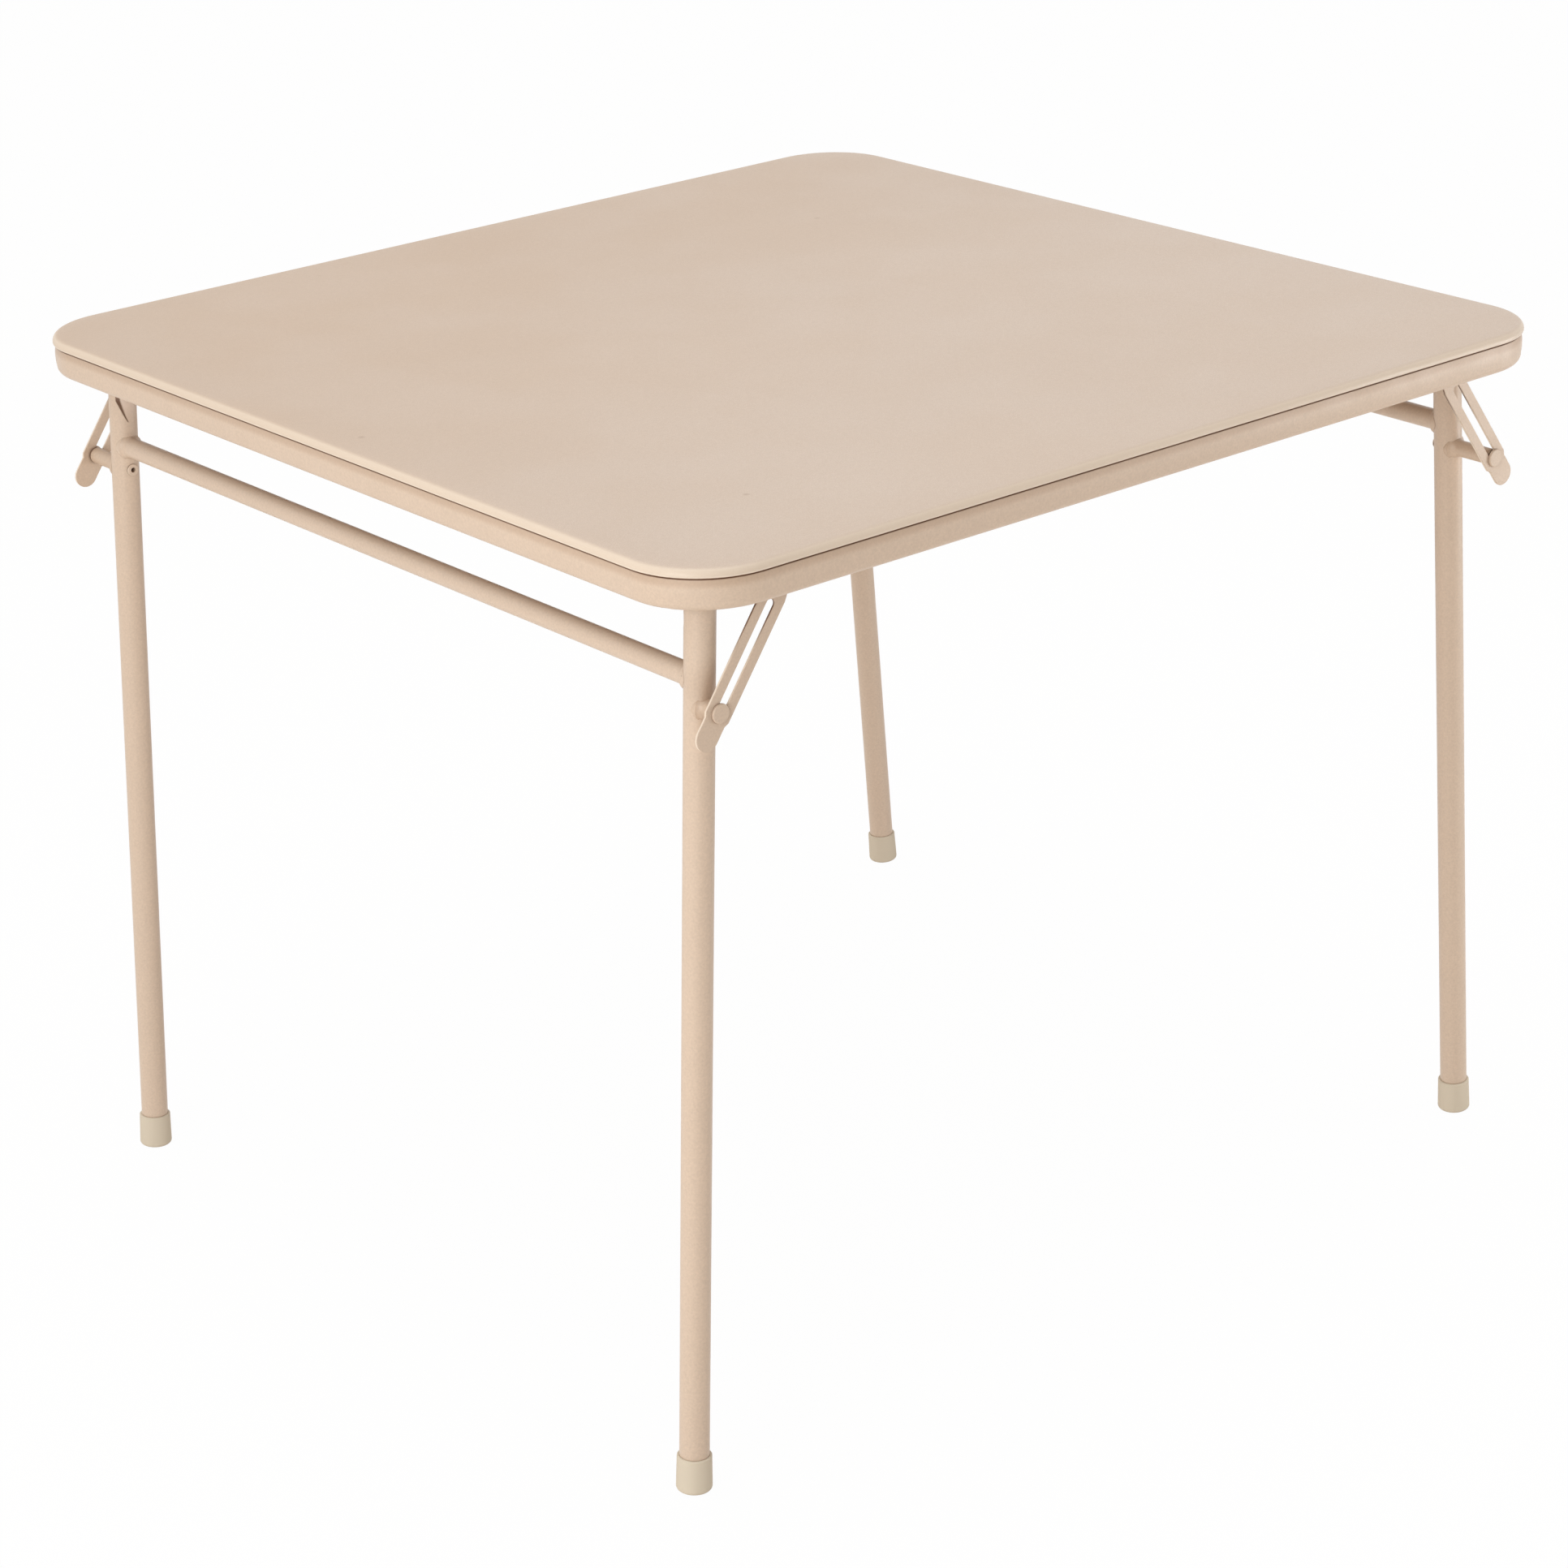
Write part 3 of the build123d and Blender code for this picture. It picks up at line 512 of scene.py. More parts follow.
class CreaseShade(Effect):
    """Painted shade where the surface is closed in: a dark line where two surfaces meet, and a soft shade
    beside it.
    """

    name = "crease_shade"
    inputs = {"Reach": (Socket.VALUE, 0.004), "Wide Reach": (Socket.VALUE, 0.012)}
    outputs = {"Line": Socket.VALUE, "Shade": Socket.VALUE}

    def wire(self, graph: Graph, source: Sockets) -> Wires:
        """Measure how closed in the surface is, at two reaches.

        Args:
            graph: The group's graph.
            source: The sockets that bring in the group's inputs.

        Returns:
            A socket for each of the group's outputs.
        """
        near = graph.add("ShaderNodeAmbientOcclusion", {"Distance": source["Reach"]}, samples=6)
        wide = graph.add("ShaderNodeAmbientOcclusion", {"Distance": source["Wide Reach"]}, samples=4)
        line = graph.ramp(near.outputs["AO"], low=0.72, high=0.3)
        return {"Line": line, "Shade": graph.ramp(wide.outputs["AO"], low=0.9, high=0.35)}


class LevelBand(Effect):
    """Mask of a level band round a piece, with soft limits."""

    name = "level_band"
    inputs = {
        "Low": (Socket.VALUE, 0.0),
        "High": (Socket.VALUE, 0.01),
        "Soft": (Socket.VALUE, 0.0005),
    }
    outputs = {"Mask": Socket.VALUE}

    def wire(self, graph: Graph, source: Sockets) -> Wires:
        """Fade in above the low limit and out above the high one.

        Args:
            graph: The group's graph.
            source: The sockets that bring in the group's inputs.

        Returns:
            A socket for each of the group's outputs.
        """
        level = graph.split(graph.place())[2]
        risen = graph.math("SUBTRACT", level, source["Low"])
        left = graph.math("SUBTRACT", source["High"], level)
        above = graph.math("DIVIDE", risen, source["Soft"], clamp=True)
        below = graph.math("DIVIDE", left, source["Soft"], clamp=True)
        return {"Mask": graph.math("MULTIPLY", above, below)}


class SideDrift(Effect):
    """Mask that grows smoothly across a piece in one direction."""

    name = "side_drift"
    inputs = {
        "Direction": (Socket.VECTOR, (0.0, 1.0, 0.0)),
        "From": (Socket.VALUE, 0.0),
        "To": (Socket.VALUE, 1.0),
    }
    outputs = {"Mask": Socket.VALUE}

    def wire(self, graph: Graph, source: Sockets) -> Wires:
        """Measure the distance along the direction.

        Args:
            graph: The group's graph.
            source: The sockets that bring in the group's inputs.

        Returns:
            A socket for each of the group's outputs.
        """
        values = {0: graph.place(), 1: source["Direction"]}
        along = graph.add("ShaderNodeVectorMath", values, operation="DOT_PRODUCT").outputs["Value"]
        return {"Mask": graph.ramp(along, low=source["From"], high=source["To"])}


class Pit(Effect):
    """Mask of one small round mark at a place on a piece."""

    name = "pit"
    inputs = {
        "Place": (Socket.VECTOR, (0.0, 0.0, 0.0)),
        "Radius": (Socket.VALUE, 0.001),
        "Core": (Socket.VALUE, 0.55),
    }
    outputs = {"Mask": Socket.VALUE}

    def wire(self, graph: Graph, source: Sockets) -> Wires:
        """Fade out with the distance from the place.

        Args:
            graph: The group's graph.
            source: The sockets that bring in the group's inputs.

        Returns:
            A socket for each of the group's outputs.
        """
        values = {0: graph.place(), 1: source["Place"]}
        away = graph.add("ShaderNodeVectorMath", values, operation="DISTANCE").outputs["Value"]
        share = graph.math("DIVIDE", away, source["Radius"])
        return {"Mask": graph.ramp(share, low=1.0, high=source["Core"])}


@dataclass(frozen=True)
class FoldLine:
    """Lower end of the crimp's fold, on the side of a leg that faces the other leg of its pair.

    A steep wall runs from the lip down to the crease, and a broad one rises from the crease. Both widen
    from the tip up, and are given by the share of the length that a point has risen from the tip.
    """

    tip_level: float = 0.641
    length: float = 0.0156
    depth: float = 0.0035
    most_risen: float = 1.2
    fade_from: float = 1.3
    fade_to: float = 1.7
    lip_start: float = 0.0015
    lip_spread: float = 0.0072
    lip_curve: float = 0.75
    wall_start: float = 0.0004
    wall_spread: float = 0.0028
    broad_wall: float = 0.008
    pivot_level: float = 0.68355
    axis_reach: float = 0.387
    splay: float = 0.0594

    def across(self, place: Vector) -> float:
        """Distance of a point from the leg's middle line, outwards.

        Args:
            place: The point.

        Returns:
            The distance.
        """
        return abs(place.x) - self.axis_reach - (self.pivot_level - place.z) * self.splay

    def sunk(self, place: Vector) -> float:
        """Depth of the fold below the round tube at a point.

        Args:
            place: The point.

        Returns:
            The depth.
        """
        risen = (place.z - self.tip_level) / self.length
        share = min(max(risen, 0.0), self.most_risen)
        width = self.wall_start + self.wall_spread * share
        lip = self.lip_start + self.lip_spread * share ** self.lip_curve
        crease = lip - width
        offset = self.across(place)
        into = min(max((lip - offset) / width, 0.0), 1.0)
        beyond = min(max((crease - offset) / (crease + self.broad_wall), 0.0), 1.0)
        fade = min(max((self.fade_to - risen) / (self.fade_to - self.fade_from), 0.0), 1.0)
        return (into - beyond) * share * fade * self.depth


FOLD = FoldLine()


class FoldShade(Effect):
    """Colour masks of the fold: painted shade on its steep wall and painted light on its broad one."""

    name = "fold_shade"
    inputs = {"Soft Edge": (Socket.VALUE, 0.0004), "Light Reach": (Socket.VALUE, 0.0014)}
    outputs = {"Dark": Socket.VALUE, "Light": Socket.VALUE}

    def wire(self, graph: Graph, source: Sockets) -> Wires:
        """Follow the fold's line.

        Args:
            graph: The group's graph.
            source: The sockets that bring in the group's inputs.

        Returns:
            A socket for each of the group's outputs.
        """
        place = graph.split(graph.place())
        drop = graph.math("SUBTRACT", FOLD.pivot_level, place[2])
        axis = graph.math("ADD", FOLD.axis_reach, graph.math("MULTIPLY", drop, FOLD.splay))
        across = graph.math("SUBTRACT", graph.math("ABSOLUTE", place[0]), axis)
        risen = graph.math("DIVIDE", graph.math("SUBTRACT", place[2], FOLD.tip_level), FOLD.length)
        share = graph.math("MINIMUM", graph.math("MAXIMUM", risen, 0.0), FOLD.most_risen)
        spread = graph.math("MULTIPLY", graph.math("POWER", share, FOLD.lip_curve), FOLD.lip_spread)
        lip = graph.math("ADD", FOLD.lip_start, spread)
        width = graph.math("ADD", FOLD.wall_start, graph.math("MULTIPLY", share, FOLD.wall_spread))
        crease = graph.math("SUBTRACT", lip, width)
        facing = graph.split(graph.add("ShaderNodeNewGeometry").outputs["True Normal"])[1]
        inward = graph.math("MULTIPLY", facing, graph.math("SIGN", place[1]))
        inside = graph.ramp(inward, low=-0.05, high=-0.3)
        fade = graph.ramp(risen, low=FOLD.fade_to, high=FOLD.fade_from)
        begun = graph.ramp(risen, low=0.0, high=0.12)
        here = graph.math("MULTIPLY", graph.math("MULTIPLY", inside, fade), begun)
        edge = graph.ramp(graph.math("SUBTRACT", lip, across), low=-0.0002, high=source["Soft Edge"])
        far = graph.ramp(graph.math("SUBTRACT", across, crease), low=-0.001, high=source["Soft Edge"])
        bright = graph.ramp(graph.math("SUBTRACT", crease, across), low=0.0, high=source["Light Reach"])
        light = graph.math("MULTIPLY", bright, share, clamp=True)
        return {
            "Dark": graph.math("MULTIPLY", graph.math("MULTIPLY", edge, far), here),
            "Light": graph.math("MULTIPLY", light, here),
        }


@dataclass(frozen=True)
class Band:
    """A level line of one colour round a piece, with its limits above some level, in metres."""

    colour: Colour
    low: float
    high: float
    soft: float
    amount: float

    def lay(self, graph: Graph, colour: Wire, level: float) -> Wire:
        """Lay the band over a colour.

        Args:
            graph: The material's graph.
            colour: The colour so far.
            level: The level that the band's limits are measured from.

        Returns:
            The colour with the band.
        """
        band = LevelBand().use(graph, Low=level + self.low, High=level + self.high, Soft=self.soft)
        return graph.tint(colour, self.colour, band["Mask"], self.amount)


class Finish(ABC):
    """A finish that becomes one material."""

    name: str

    def material(self) -> bpy.types.Material:
        """Find the material, or build it the first time.

        Returns:
            The finished material.
        """
        known = bpy.data.materials.get(self.name)
        if known is not None:
            return known
        made = bpy.data.materials.new(self.name)
        made.use_nodes = True
        made.node_tree.nodes.clear()
        graph = Graph(made.node_tree)
        shader = graph.add("ShaderNodeBsdfPrincipled")
        graph.add("ShaderNodeOutputMaterial", {"Surface": shader.outputs[0]})
        self.wire(graph, shader)
        return made

    @abstractmethod
    def wire(self, graph: Graph, shader: bpy.types.Node) -> None:
        """Fill the shader's sockets.

        Args:
            graph: The material's graph.
            shader: The material's Principled BSDF.
        """

    def bump(
        self, graph: Graph, shader: bpy.types.Node, height: object, depth: float, strength: float = 1.0
    ) -> None:
        """Give the shader a bumped normal.

        Args:
            graph: The material's graph.
            shader: The material's Principled BSDF.
            height: The height's socket.
            depth: Depth of the relief, in metres.
            strength: How strongly it shows.
        """
        values = {"Height": height, "Distance": depth, "Strength": strength}
        graph.feed(shader.inputs["Normal"], graph.add("ShaderNodeBump", values).outputs[0])

    def dress(self, piece: Piece) -> None:
        """Put this finish on every part of a piece.

        Args:
            piece: The object to dress.
        """
        slots = piece.data.materials
        if not slots:
            slots.append(self.material())
        for index in range(len(slots)):
            slots[index] = self.material()


@dataclass(frozen=True)
class SoftVinyl(Finish):
    """Beige upholstery vinyl with a fine embossed grain and a low sheen."""

    name: str = "soft_vinyl"
    colour: Colour = srgb(217, 200, 184)
    crease: Colour = srgb(203, 181, 162)
    smudge: Colour = srgb(166, 134, 108)
    # Darker, warmer colour of painted shade towards the top's +Y side.
    far_side_shade: Colour = srgb(210, 187, 164)
    # Painted highlights on the rolled edge and on its lip, and a painted shadow line at the joint with the
    # rail.
    rolled_edge_highlight: Band = Band(srgb(234, 220, 202), low=0.0004, high=0.0071, soft=0.0012, amount=0.75)
    lip: Band = Band(srgb(244, 234, 220), low=0.0007, high=0.0021, soft=0.0004, amount=0.6)
    joint: Band = Band(srgb(112, 76, 50), low=-0.002, high=0.0008, soft=0.0004, amount=1.0)
    joint_level: float = 0.7037
    roughness: float = 0.4
    grain_depth: float = 0.00006

    def wire(self, graph: Graph, shader: bpy.types.Node) -> None:
        """Grain, drifts of tone, a few smudges, painted shade towards the top's +Y side, painted highlights
        on the rolled edge and its lip, and a painted shadow line where the cover meets the rail.

        Args:
            graph: The material's graph.
            shader: The material's Principled BSDF.
        """
        # Painted shade: the top darkens and warms towards its +Y side.
        far_side = SideDrift().use(graph, Direction=(-0.45, 0.89, 0.0), From=-0.25, To=0.45)
        base = graph.blend(far_side["Mask"], self.colour, self.far_side_shade)
        tone = CloudyTone().use(
            graph, Colour=base, Broad_Scale=3.2, Fine_Scale=330.0, Broad_Amount=0.035, Fine_Amount=0.05
        )
        grain = PebbleGrain().use(graph, Scale=640.0)
        creased = graph.tint(tone["Colour"], self.crease, grain["Crease"], amount=0.35)
        marks = Specks().use(graph, Cells=17.0, Size=0.05, Share=0.16)
        marked = graph.tint(creased, self.smudge, marks["Mask"], amount=0.5)
        # Lay the painted highlights and the painted shadow line.
        for band in (self.rolled_edge_highlight, self.lip, self.joint):
            marked = band.lay(graph, marked, self.joint_level)
        graph.feed(shader.inputs["Base Color"], marked)
        sheen = graph.noise(scale=9.0, detail=3.0)
        glossiest, dullest = self.roughness - 0.05, self.roughness + 0.06
        rough = graph.ramp(sheen, low=0.3, high=0.7, low_out=glossiest, high_out=dullest)
        dulled = graph.math("MULTIPLY", grain["Crease"], 0.12)
        graph.feed(shader.inputs["Roughness"], graph.math("ADD", rough, dulled))
        shader.inputs["Specular IOR Level"].default_value = 0.45
        shader.inputs["Coat Weight"].default_value = 0.22
        shader.inputs["Coat Roughness"].default_value = 0.15
        self.bump(graph, shader, grain["Height"], depth=self.grain_depth, strength=0.8)


@dataclass(frozen=True)
class BakedEnamel(Finish):
    """Sprayed and baked semi-gloss enamel on steel."""

    name: str = "baked_enamel"
    colour: Colour = srgb(220, 201, 182)
    # Paint worn thin at the edges; the apron also uses it for painted shade.
    thin: Colour = srgb(186, 154, 126)
    chip: Colour = srgb(128, 96, 72)
    # Dark brown of painted shade in creases, gaps and the fold, and on the braces' edges near the hinge.
    shade_dark: Colour = srgb(108, 72, 48)
    # Softer brown of painted shade beside creases and behind the braces.
    shaded: Colour = srgb(160, 128, 100)
    # Pale dust nibs; the rivets and braces also use it for painted highlights.
    dust: Colour = srgb(244, 232, 216)
    roughness: float = 0.4
    paint_depth: float = 0.00009

    def lines(self, graph: Graph, colour: Wire) -> Wire:
        """Add what only one kind of piece has to the paint's colour.

        Args:
            graph: The material's graph.
            colour: The colour so far.

        Returns:
            The finished colour.
        """
        return colour

    def wire(self, graph: Graph, shader: bpy.types.Node) -> None:
        """Grainy tone, dimples, thin paint along the edges, painted shade in and beside creases, and a few
        chips.

        Args:
            graph: The material's graph.
            shader: The material's Principled BSDF.
        """
        tone = CloudyTone().use(
            graph, Colour=self.colour, Broad_Scale=11.0, Fine_Scale=600.0,
            Broad_Amount=0.03, Fine_Amount=0.12,
        )
        rub = EdgeRub().use(graph, Width=0.0011, Break_Scale=140.0)
        colour = graph.tint(tone["Colour"], self.thin, rub["Mask"], amount=0.55)
        # Painted shade: a soft shade where the surface is closed in, and a dark line in its creases.
        closed = CreaseShade().use(graph, Reach=0.0035, Wide_Reach=0.011)
        colour = graph.tint(colour, self.shaded, closed["Shade"], amount=0.5)
        colour = graph.tint(colour, self.shade_dark, closed["Line"], amount=0.85)
        nibs = Specks().use(graph, Cells=66.0, Size=0.05, Share=0.12)
        colour = graph.tint(colour, self.dust, nibs["Mask"], amount=0.5)
        chips = Specks().use(graph, Cells=42.0, Size=0.05, Share=0.1)
        colour = graph.tint(colour, self.chip, chips["Mask"], amount=0.5)
        graph.feed(shader.inputs["Base Color"], self.lines(graph, colour))
        patches = graph.noise(scale=30.0)
        glossiest, dullest = self.roughness - 0.04, self.roughness + 0.05
        rough = graph.ramp(patches, low=0.3, high=0.7, low_out=glossiest, high_out=dullest)
        dulled = graph.math("MULTIPLY", chips["Mask"], 0.2)
        graph.feed(shader.inputs["Roughness"], graph.math("ADD", rough, dulled))
        peel = OrangePeel().use(graph, Scale=560.0)
        pitted = graph.math("SUBTRACT", graph.math("MULTIPLY", peel["Height"], 0.55), chips["Mask"])
        self.bump(graph, shader, pitted, depth=self.paint_depth)


@dataclass(frozen=True)
class RailEnamel(BakedEnamel):
    """Enamel of the apron, with a painted shadow line at the joint under the vinyl, painted shade below it,
    and a darker line along its foot.
    """

    name: str = "rail_enamel"
    top: float = 0.7036
    foot: float = 0.68
    # Painted shade under the vinyl's edge, in the thin paint's colour, and a painted shadow line at the
    # joint.
    shade: Band = Band(BakedEnamel.thin, low=-0.0075, high=0.002, soft=0.0065, amount=0.75)
    joint: Band = Band(BakedEnamel.shade_dark, low=-0.0012, high=0.002, soft=0.0006, amount=0.9)
    # A darker line along the foot, in the thin paint's colour.
    dark_foot: Band = Band(BakedEnamel.thin, low=-0.001, high=0.0009, soft=0.0005, amount=0.6)

    def lines(self, graph: Graph, colour: Wire) -> Wire:
        """Add the painted shadow line at the joint, the painted shade under it and the darker line along
        the foot.

        Args:
            graph: The material's graph.
            colour: The colour so far.

        Returns:
            The finished colour.
        """
        for band, level in ((self.shade, self.top), (self.joint, self.top), (self.dark_foot, self.foot)):
            colour = band.lay(graph, colour, level)
        return colour


@dataclass(frozen=True)
class RivetEnamel(BakedEnamel):
    """Enamel on the rivets, with a painted highlight on their rims."""

    name: str = "rivet_enamel"

    def lines(self, graph: Graph, colour: Wire) -> Wire:
        """Paint a highlight on the rims.

        Args:
            graph: The material's graph.
            colour: The colour so far.

        Returns:
            The finished colour.
        """
        # Painted highlight: the rims are lightened with the pale dust colour.
        rims = EdgeRub().use(graph, Width=0.0009, Whole=1.0)
        return graph.tint(colour, self.dust, rims["Mask"], amount=0.85)


@dataclass(frozen=True)
class BraceEnamel(BakedEnamel):
    """Enamel of the slotted braces, with a painted highlight on the lower part of their sheared edges and
    painted shade on them near the hinge.
    """

    name: str = "brace_enamel"
    hinge_shade_from: float = 0.632
    hinge_shade_to: float = 0.662

    def lines(self, graph: Graph, colour: Wire) -> Wire:
        """Find the sheared edges by the way they face, and colour them by height: a painted highlight below
        and painted shade near the hinge.

        Args:
            graph: The material's graph.
            colour: The colour so far.

        Returns:
            The finished colour.
        """
        facing = graph.add("ShaderNodeNewGeometry").outputs["True Normal"]
        across = graph.math("ABSOLUTE", graph.split(facing)[1])
        sheared = graph.ramp(across, low=0.75, high=0.35)
        # Painted highlight on the lower part of the sheared edges, in the pale dust colour, turning to
        # painted shade near the hinge.
        hinge_shade = SideDrift().use(graph, Direction=(0.0, 0.0, 1.0), From=self.hinge_shade_from, To=self.hinge_shade_to)
        edge = graph.blend(hinge_shade["Mask"], self.dust, self.shade_dark)
        return graph.tint(colour, edge, sheared, amount=0.85)


@dataclass(frozen=True)
class WeldedEnamel(BakedEnamel):
    """Enamel of the legs and cross tubes, with painted light and shade on the crimp's fold, painted shade
    behind the braces, and dark dots painted as shade in small weld craters.
    """

    name: str = "welded_enamel"
    pit_shades: Tuple[Mark, ...] = WELD_PIT_SHADES
    brace_shades: Tuple[Mark, ...] = BRACE_SHADE_PLACES
    fold_light: Colour = srgb(232, 216, 204)

    def lines(self, graph: Graph, colour: Wire) -> Wire:
        """Paint light and shade on the walls of the crimp's fold, shade at the places behind the braces,
        and dark dots as shade in the weld craters.

        Args:
            graph: The material's graph.
            colour: The colour so far.

        Returns:
            The finished colour.
        """
        fold = FoldShade().use(graph)
        # Painted light on the fold's broad wall and painted shade on its steep wall.
        colour = graph.tint(colour, self.fold_light, fold["Light"], amount=0.6)
        colour = graph.tint(colour, self.shade_dark, fold["Dark"], amount=0.85)
        # Painted shade on the legs behind the braces.
        for place, radius in self.brace_shades:
            brace_shade = Pit().use(graph, Place=place, Radius=radius, Core=0.15)
            colour = graph.tint(colour, self.shaded, brace_shade["Mask"], amount=0.4)
        # Dark dots painted as the shade inside the weld craters.
        for place, radius in self.pit_shades:
            pit = Pit().use(graph, Place=place, Radius=radius)
            colour = graph.tint(colour, self.shade_dark, pit["Mask"], amount=0.85)
        return colour


@dataclass(frozen=True)
class CapPlastic(Finish):
    """Cream moulded plastic of the leg ferrules."""

    name: str = "cap_plastic"
    colour: Colour = srgb(254, 246, 232)
    dirt: Colour = srgb(150, 128, 104)
    rim: Colour = srgb(255, 250, 232)
    # Dark colour of the painted shade in the creases.
    shade_dark: Colour = srgb(150, 118, 88)
    roughness: float = 0.38

    def wire(self, graph: Graph, shader: bpy.types.Node) -> None:
        """Even plastic with a mould's fine texture, scuffs near the floor and painted shade in its creases.

        Args:
            graph: The material's graph.
            shader: The material's Principled BSDF.
        """
        tone = CloudyTone().use(
            graph, Colour=self.colour, Broad_Scale=24.0, Fine_Scale=500.0,
            Broad_Amount=0.025, Fine_Amount=0.02,
        )
        scuff = FloorScuff().use(graph, Reach=0.016, Scale=420.0)
        rim = EdgeRub().use(graph, Width=0.0012, Break_Scale=25.0)
        colour = graph.tint(tone["Colour"], self.rim, rim["Mask"], amount=0.8)
        colour = graph.tint(colour, self.dirt, scuff["Mask"], amount=0.3)
        # Painted shade: a dark line in the cap's creases.
        closed = CreaseShade().use(graph, Reach=0.003, Wide_Reach=0.006)
        colour = graph.tint(colour, self.shade_dark, closed["Line"], amount=0.7)
        graph.feed(shader.inputs["Base Color"], colour)
        rough = graph.math("ADD", self.roughness, graph.math("MULTIPLY", scuff["Mask"], 0.3))
        graph.feed(shader.inputs["Roughness"], rough)
        shader.inputs["Subsurface Weight"].default_value = 0.12
        shader.inputs["Subsurface Radius"].default_value = (0.004, 0.003, 0.002)
        shader.inputs["Subsurface Scale"].default_value = 0.5
        texture = OrangePeel().use(graph, Scale=1100.0)
        scuffed = graph.math("SUBTRACT", texture["Height"], scuff["Mask"])
        self.bump(graph, shader, scuffed, depth=0.00004, strength=0.5)


@dataclass(frozen=True)
class Hardboard(Finish):
    """Brown tempered hardboard: pressed wood fibre, smooth on the face."""

    name: str = "hardboard"
    colour: Colour = srgb(142, 106, 74)
    fibre: Colour = srgb(104, 74, 48)
    strand_turns: Point = (0.3, 1.5, 2.6)
    strand_scale: Point = (55.0, 900.0, 55.0)

    def wire(self, graph: Graph, shader: bpy.types.Node) -> None:
        """Short tangled fibres over cloudy brown.

        Args:
            graph: The material's graph.
            shader: The material's Principled BSDF.
        """
        tone = CloudyTone().use(
            graph, Colour=self.colour, Broad_Scale=7.0, Fine_Scale=260.0, Broad_Amount=0.08, Fine_Amount=0.1
        )
        place = graph.place()
        strands: Optional[Wire] = None
        for turn in self.strand_turns:
            values = {"Vector": place, "Rotation": (0.0, 0.0, turn), "Scale": self.strand_scale}
            turned = graph.add("ShaderNodeMapping", values).outputs[0]
            thin = graph.ramp(graph.noise(scale=1.0, place=turned), low=0.6, high=0.72)
            strands = thin if strands is None else graph.math("MAXIMUM", strands, thin)
        colour = graph.tint(tone["Colour"], self.fibre, strands, amount=0.55)
        graph.feed(shader.inputs["Base Color"], colour)
        rough = graph.ramp(strands, low=0.0, high=1.0, low_out=0.55, high_out=0.72)
        graph.feed(shader.inputs["Roughness"], rough)
        self.bump(graph, shader, strands, depth=0.00008, strength=0.6)


@dataclass(frozen=True)
class ZincPlate(Finish):
    """Zinc-plated steel of the small fasteners."""

    name: str = "zinc_plate"
    colour: Colour = (0.60, 0.60, 0.58)
    tarnish: Colour = (0.36, 0.35, 0.32)

    def wire(self, graph: Graph, shader: bpy.types.Node) -> None:
        """Spangled plate that has dulled in patches.

        Args:
            graph: The material's graph.
            shader: The material's Principled BSDF.
        """
        spangle = graph.add("ShaderNodeTexVoronoi", {"Vector": graph.place(), "Scale": 900.0})
        shade = graph.add("ShaderNodeSeparateColor", {0: spangle.outputs["Color"]}).outputs[0]
        patch = graph.ramp(graph.noise(scale=300.0, detail=3.0), low=0.45, high=0.7)
        colour = graph.tint(self.colour, self.tarnish, patch, amount=0.6)
        graph.feed(shader.inputs["Base Color"], colour)
        shader.inputs["Metallic"].default_value = 1.0
        uneven = graph.math("ADD", shade, patch)
        rough = graph.ramp(uneven, low=0.0, high=2.0, low_out=0.26, high_out=0.5)
        graph.feed(shader.inputs["Roughness"], rough)
        self.bump(graph, shader, shade, depth=0.00002, strength=0.4)


@dataclass(frozen=True)
class FoamSheet(Finish):
    """Off-white polyurethane foam, open-celled."""

    name: str = "foam_sheet"
    colour: Colour = srgb(232, 222, 196)
    cell: Colour = srgb(190, 172, 134)

    def wire(self, graph: Graph, shader: bpy.types.Node) -> None:
        """Small open cells in colour and relief.

        Args:
            graph: The material's graph.
            shader: The material's Principled BSDF.
        """
        cells = graph.add("ShaderNodeTexVoronoi", {"Vector": graph.place(), "Scale": 1100.0})
        pit = graph.ramp(cells.outputs["Distance"], low=0.1, high=0.5)
        graph.feed(shader.inputs["Base Color"], graph.blend(pit, self.cell, self.colour))
        shader.inputs["Roughness"].default_value = 0.9
        self.bump(graph, shader, pit, depth=0.0003, strength=0.8)


@dataclass(frozen=True)
class StudioFloor(Finish):
    """Pale floor that the camera sees nearly white, with the table's shadow on it."""

    name: str = "studio_floor"
    seen_colour: Colour = (1.0, 1.0, 1.0)
    bounce_colour: Colour = (0.86, 0.80, 0.74)
    lift: float = 0.975

    def wire(self, graph: Graph, shader: bpy.types.Node) -> None:
        """Show the eye a nearly white floor, and give the table a dimmer one to be lit by.

        Args:
            graph: The material's graph.
            shader: The material's Principled BSDF.
        """
        seen = graph.seen()
        graph.feed(shader.inputs["Base Color"], graph.blend(seen, self.bounce_colour, self.seen_colour))
        shader.inputs["Roughness"].default_value = 0.9
        shader.inputs["Specular IOR Level"].default_value = 0.0
        glow = graph.add("ShaderNodeEmission", {"Color": (1.0, 1.0, 1.0), "Strength": 1.0})
        share = graph.math("MULTIPLY", seen, self.lift)
        mixed = graph.add("ShaderNodeMixShader", {0: share, 1: shader.outputs[0], 2: glow.outputs[0]})
        output = next(n for n in graph.tree.nodes if n.type == "OUTPUT_MATERIAL")
        graph.feed(output.inputs["Surface"], mixed.outputs[0])


@dataclass(frozen=True)
class Ring:
    """One closed line round the top: its inset from the edge, its level and how far it waves."""

    inset: float
    level: float
    wave_out: float = 0.0
    wave_up: float = 0.0


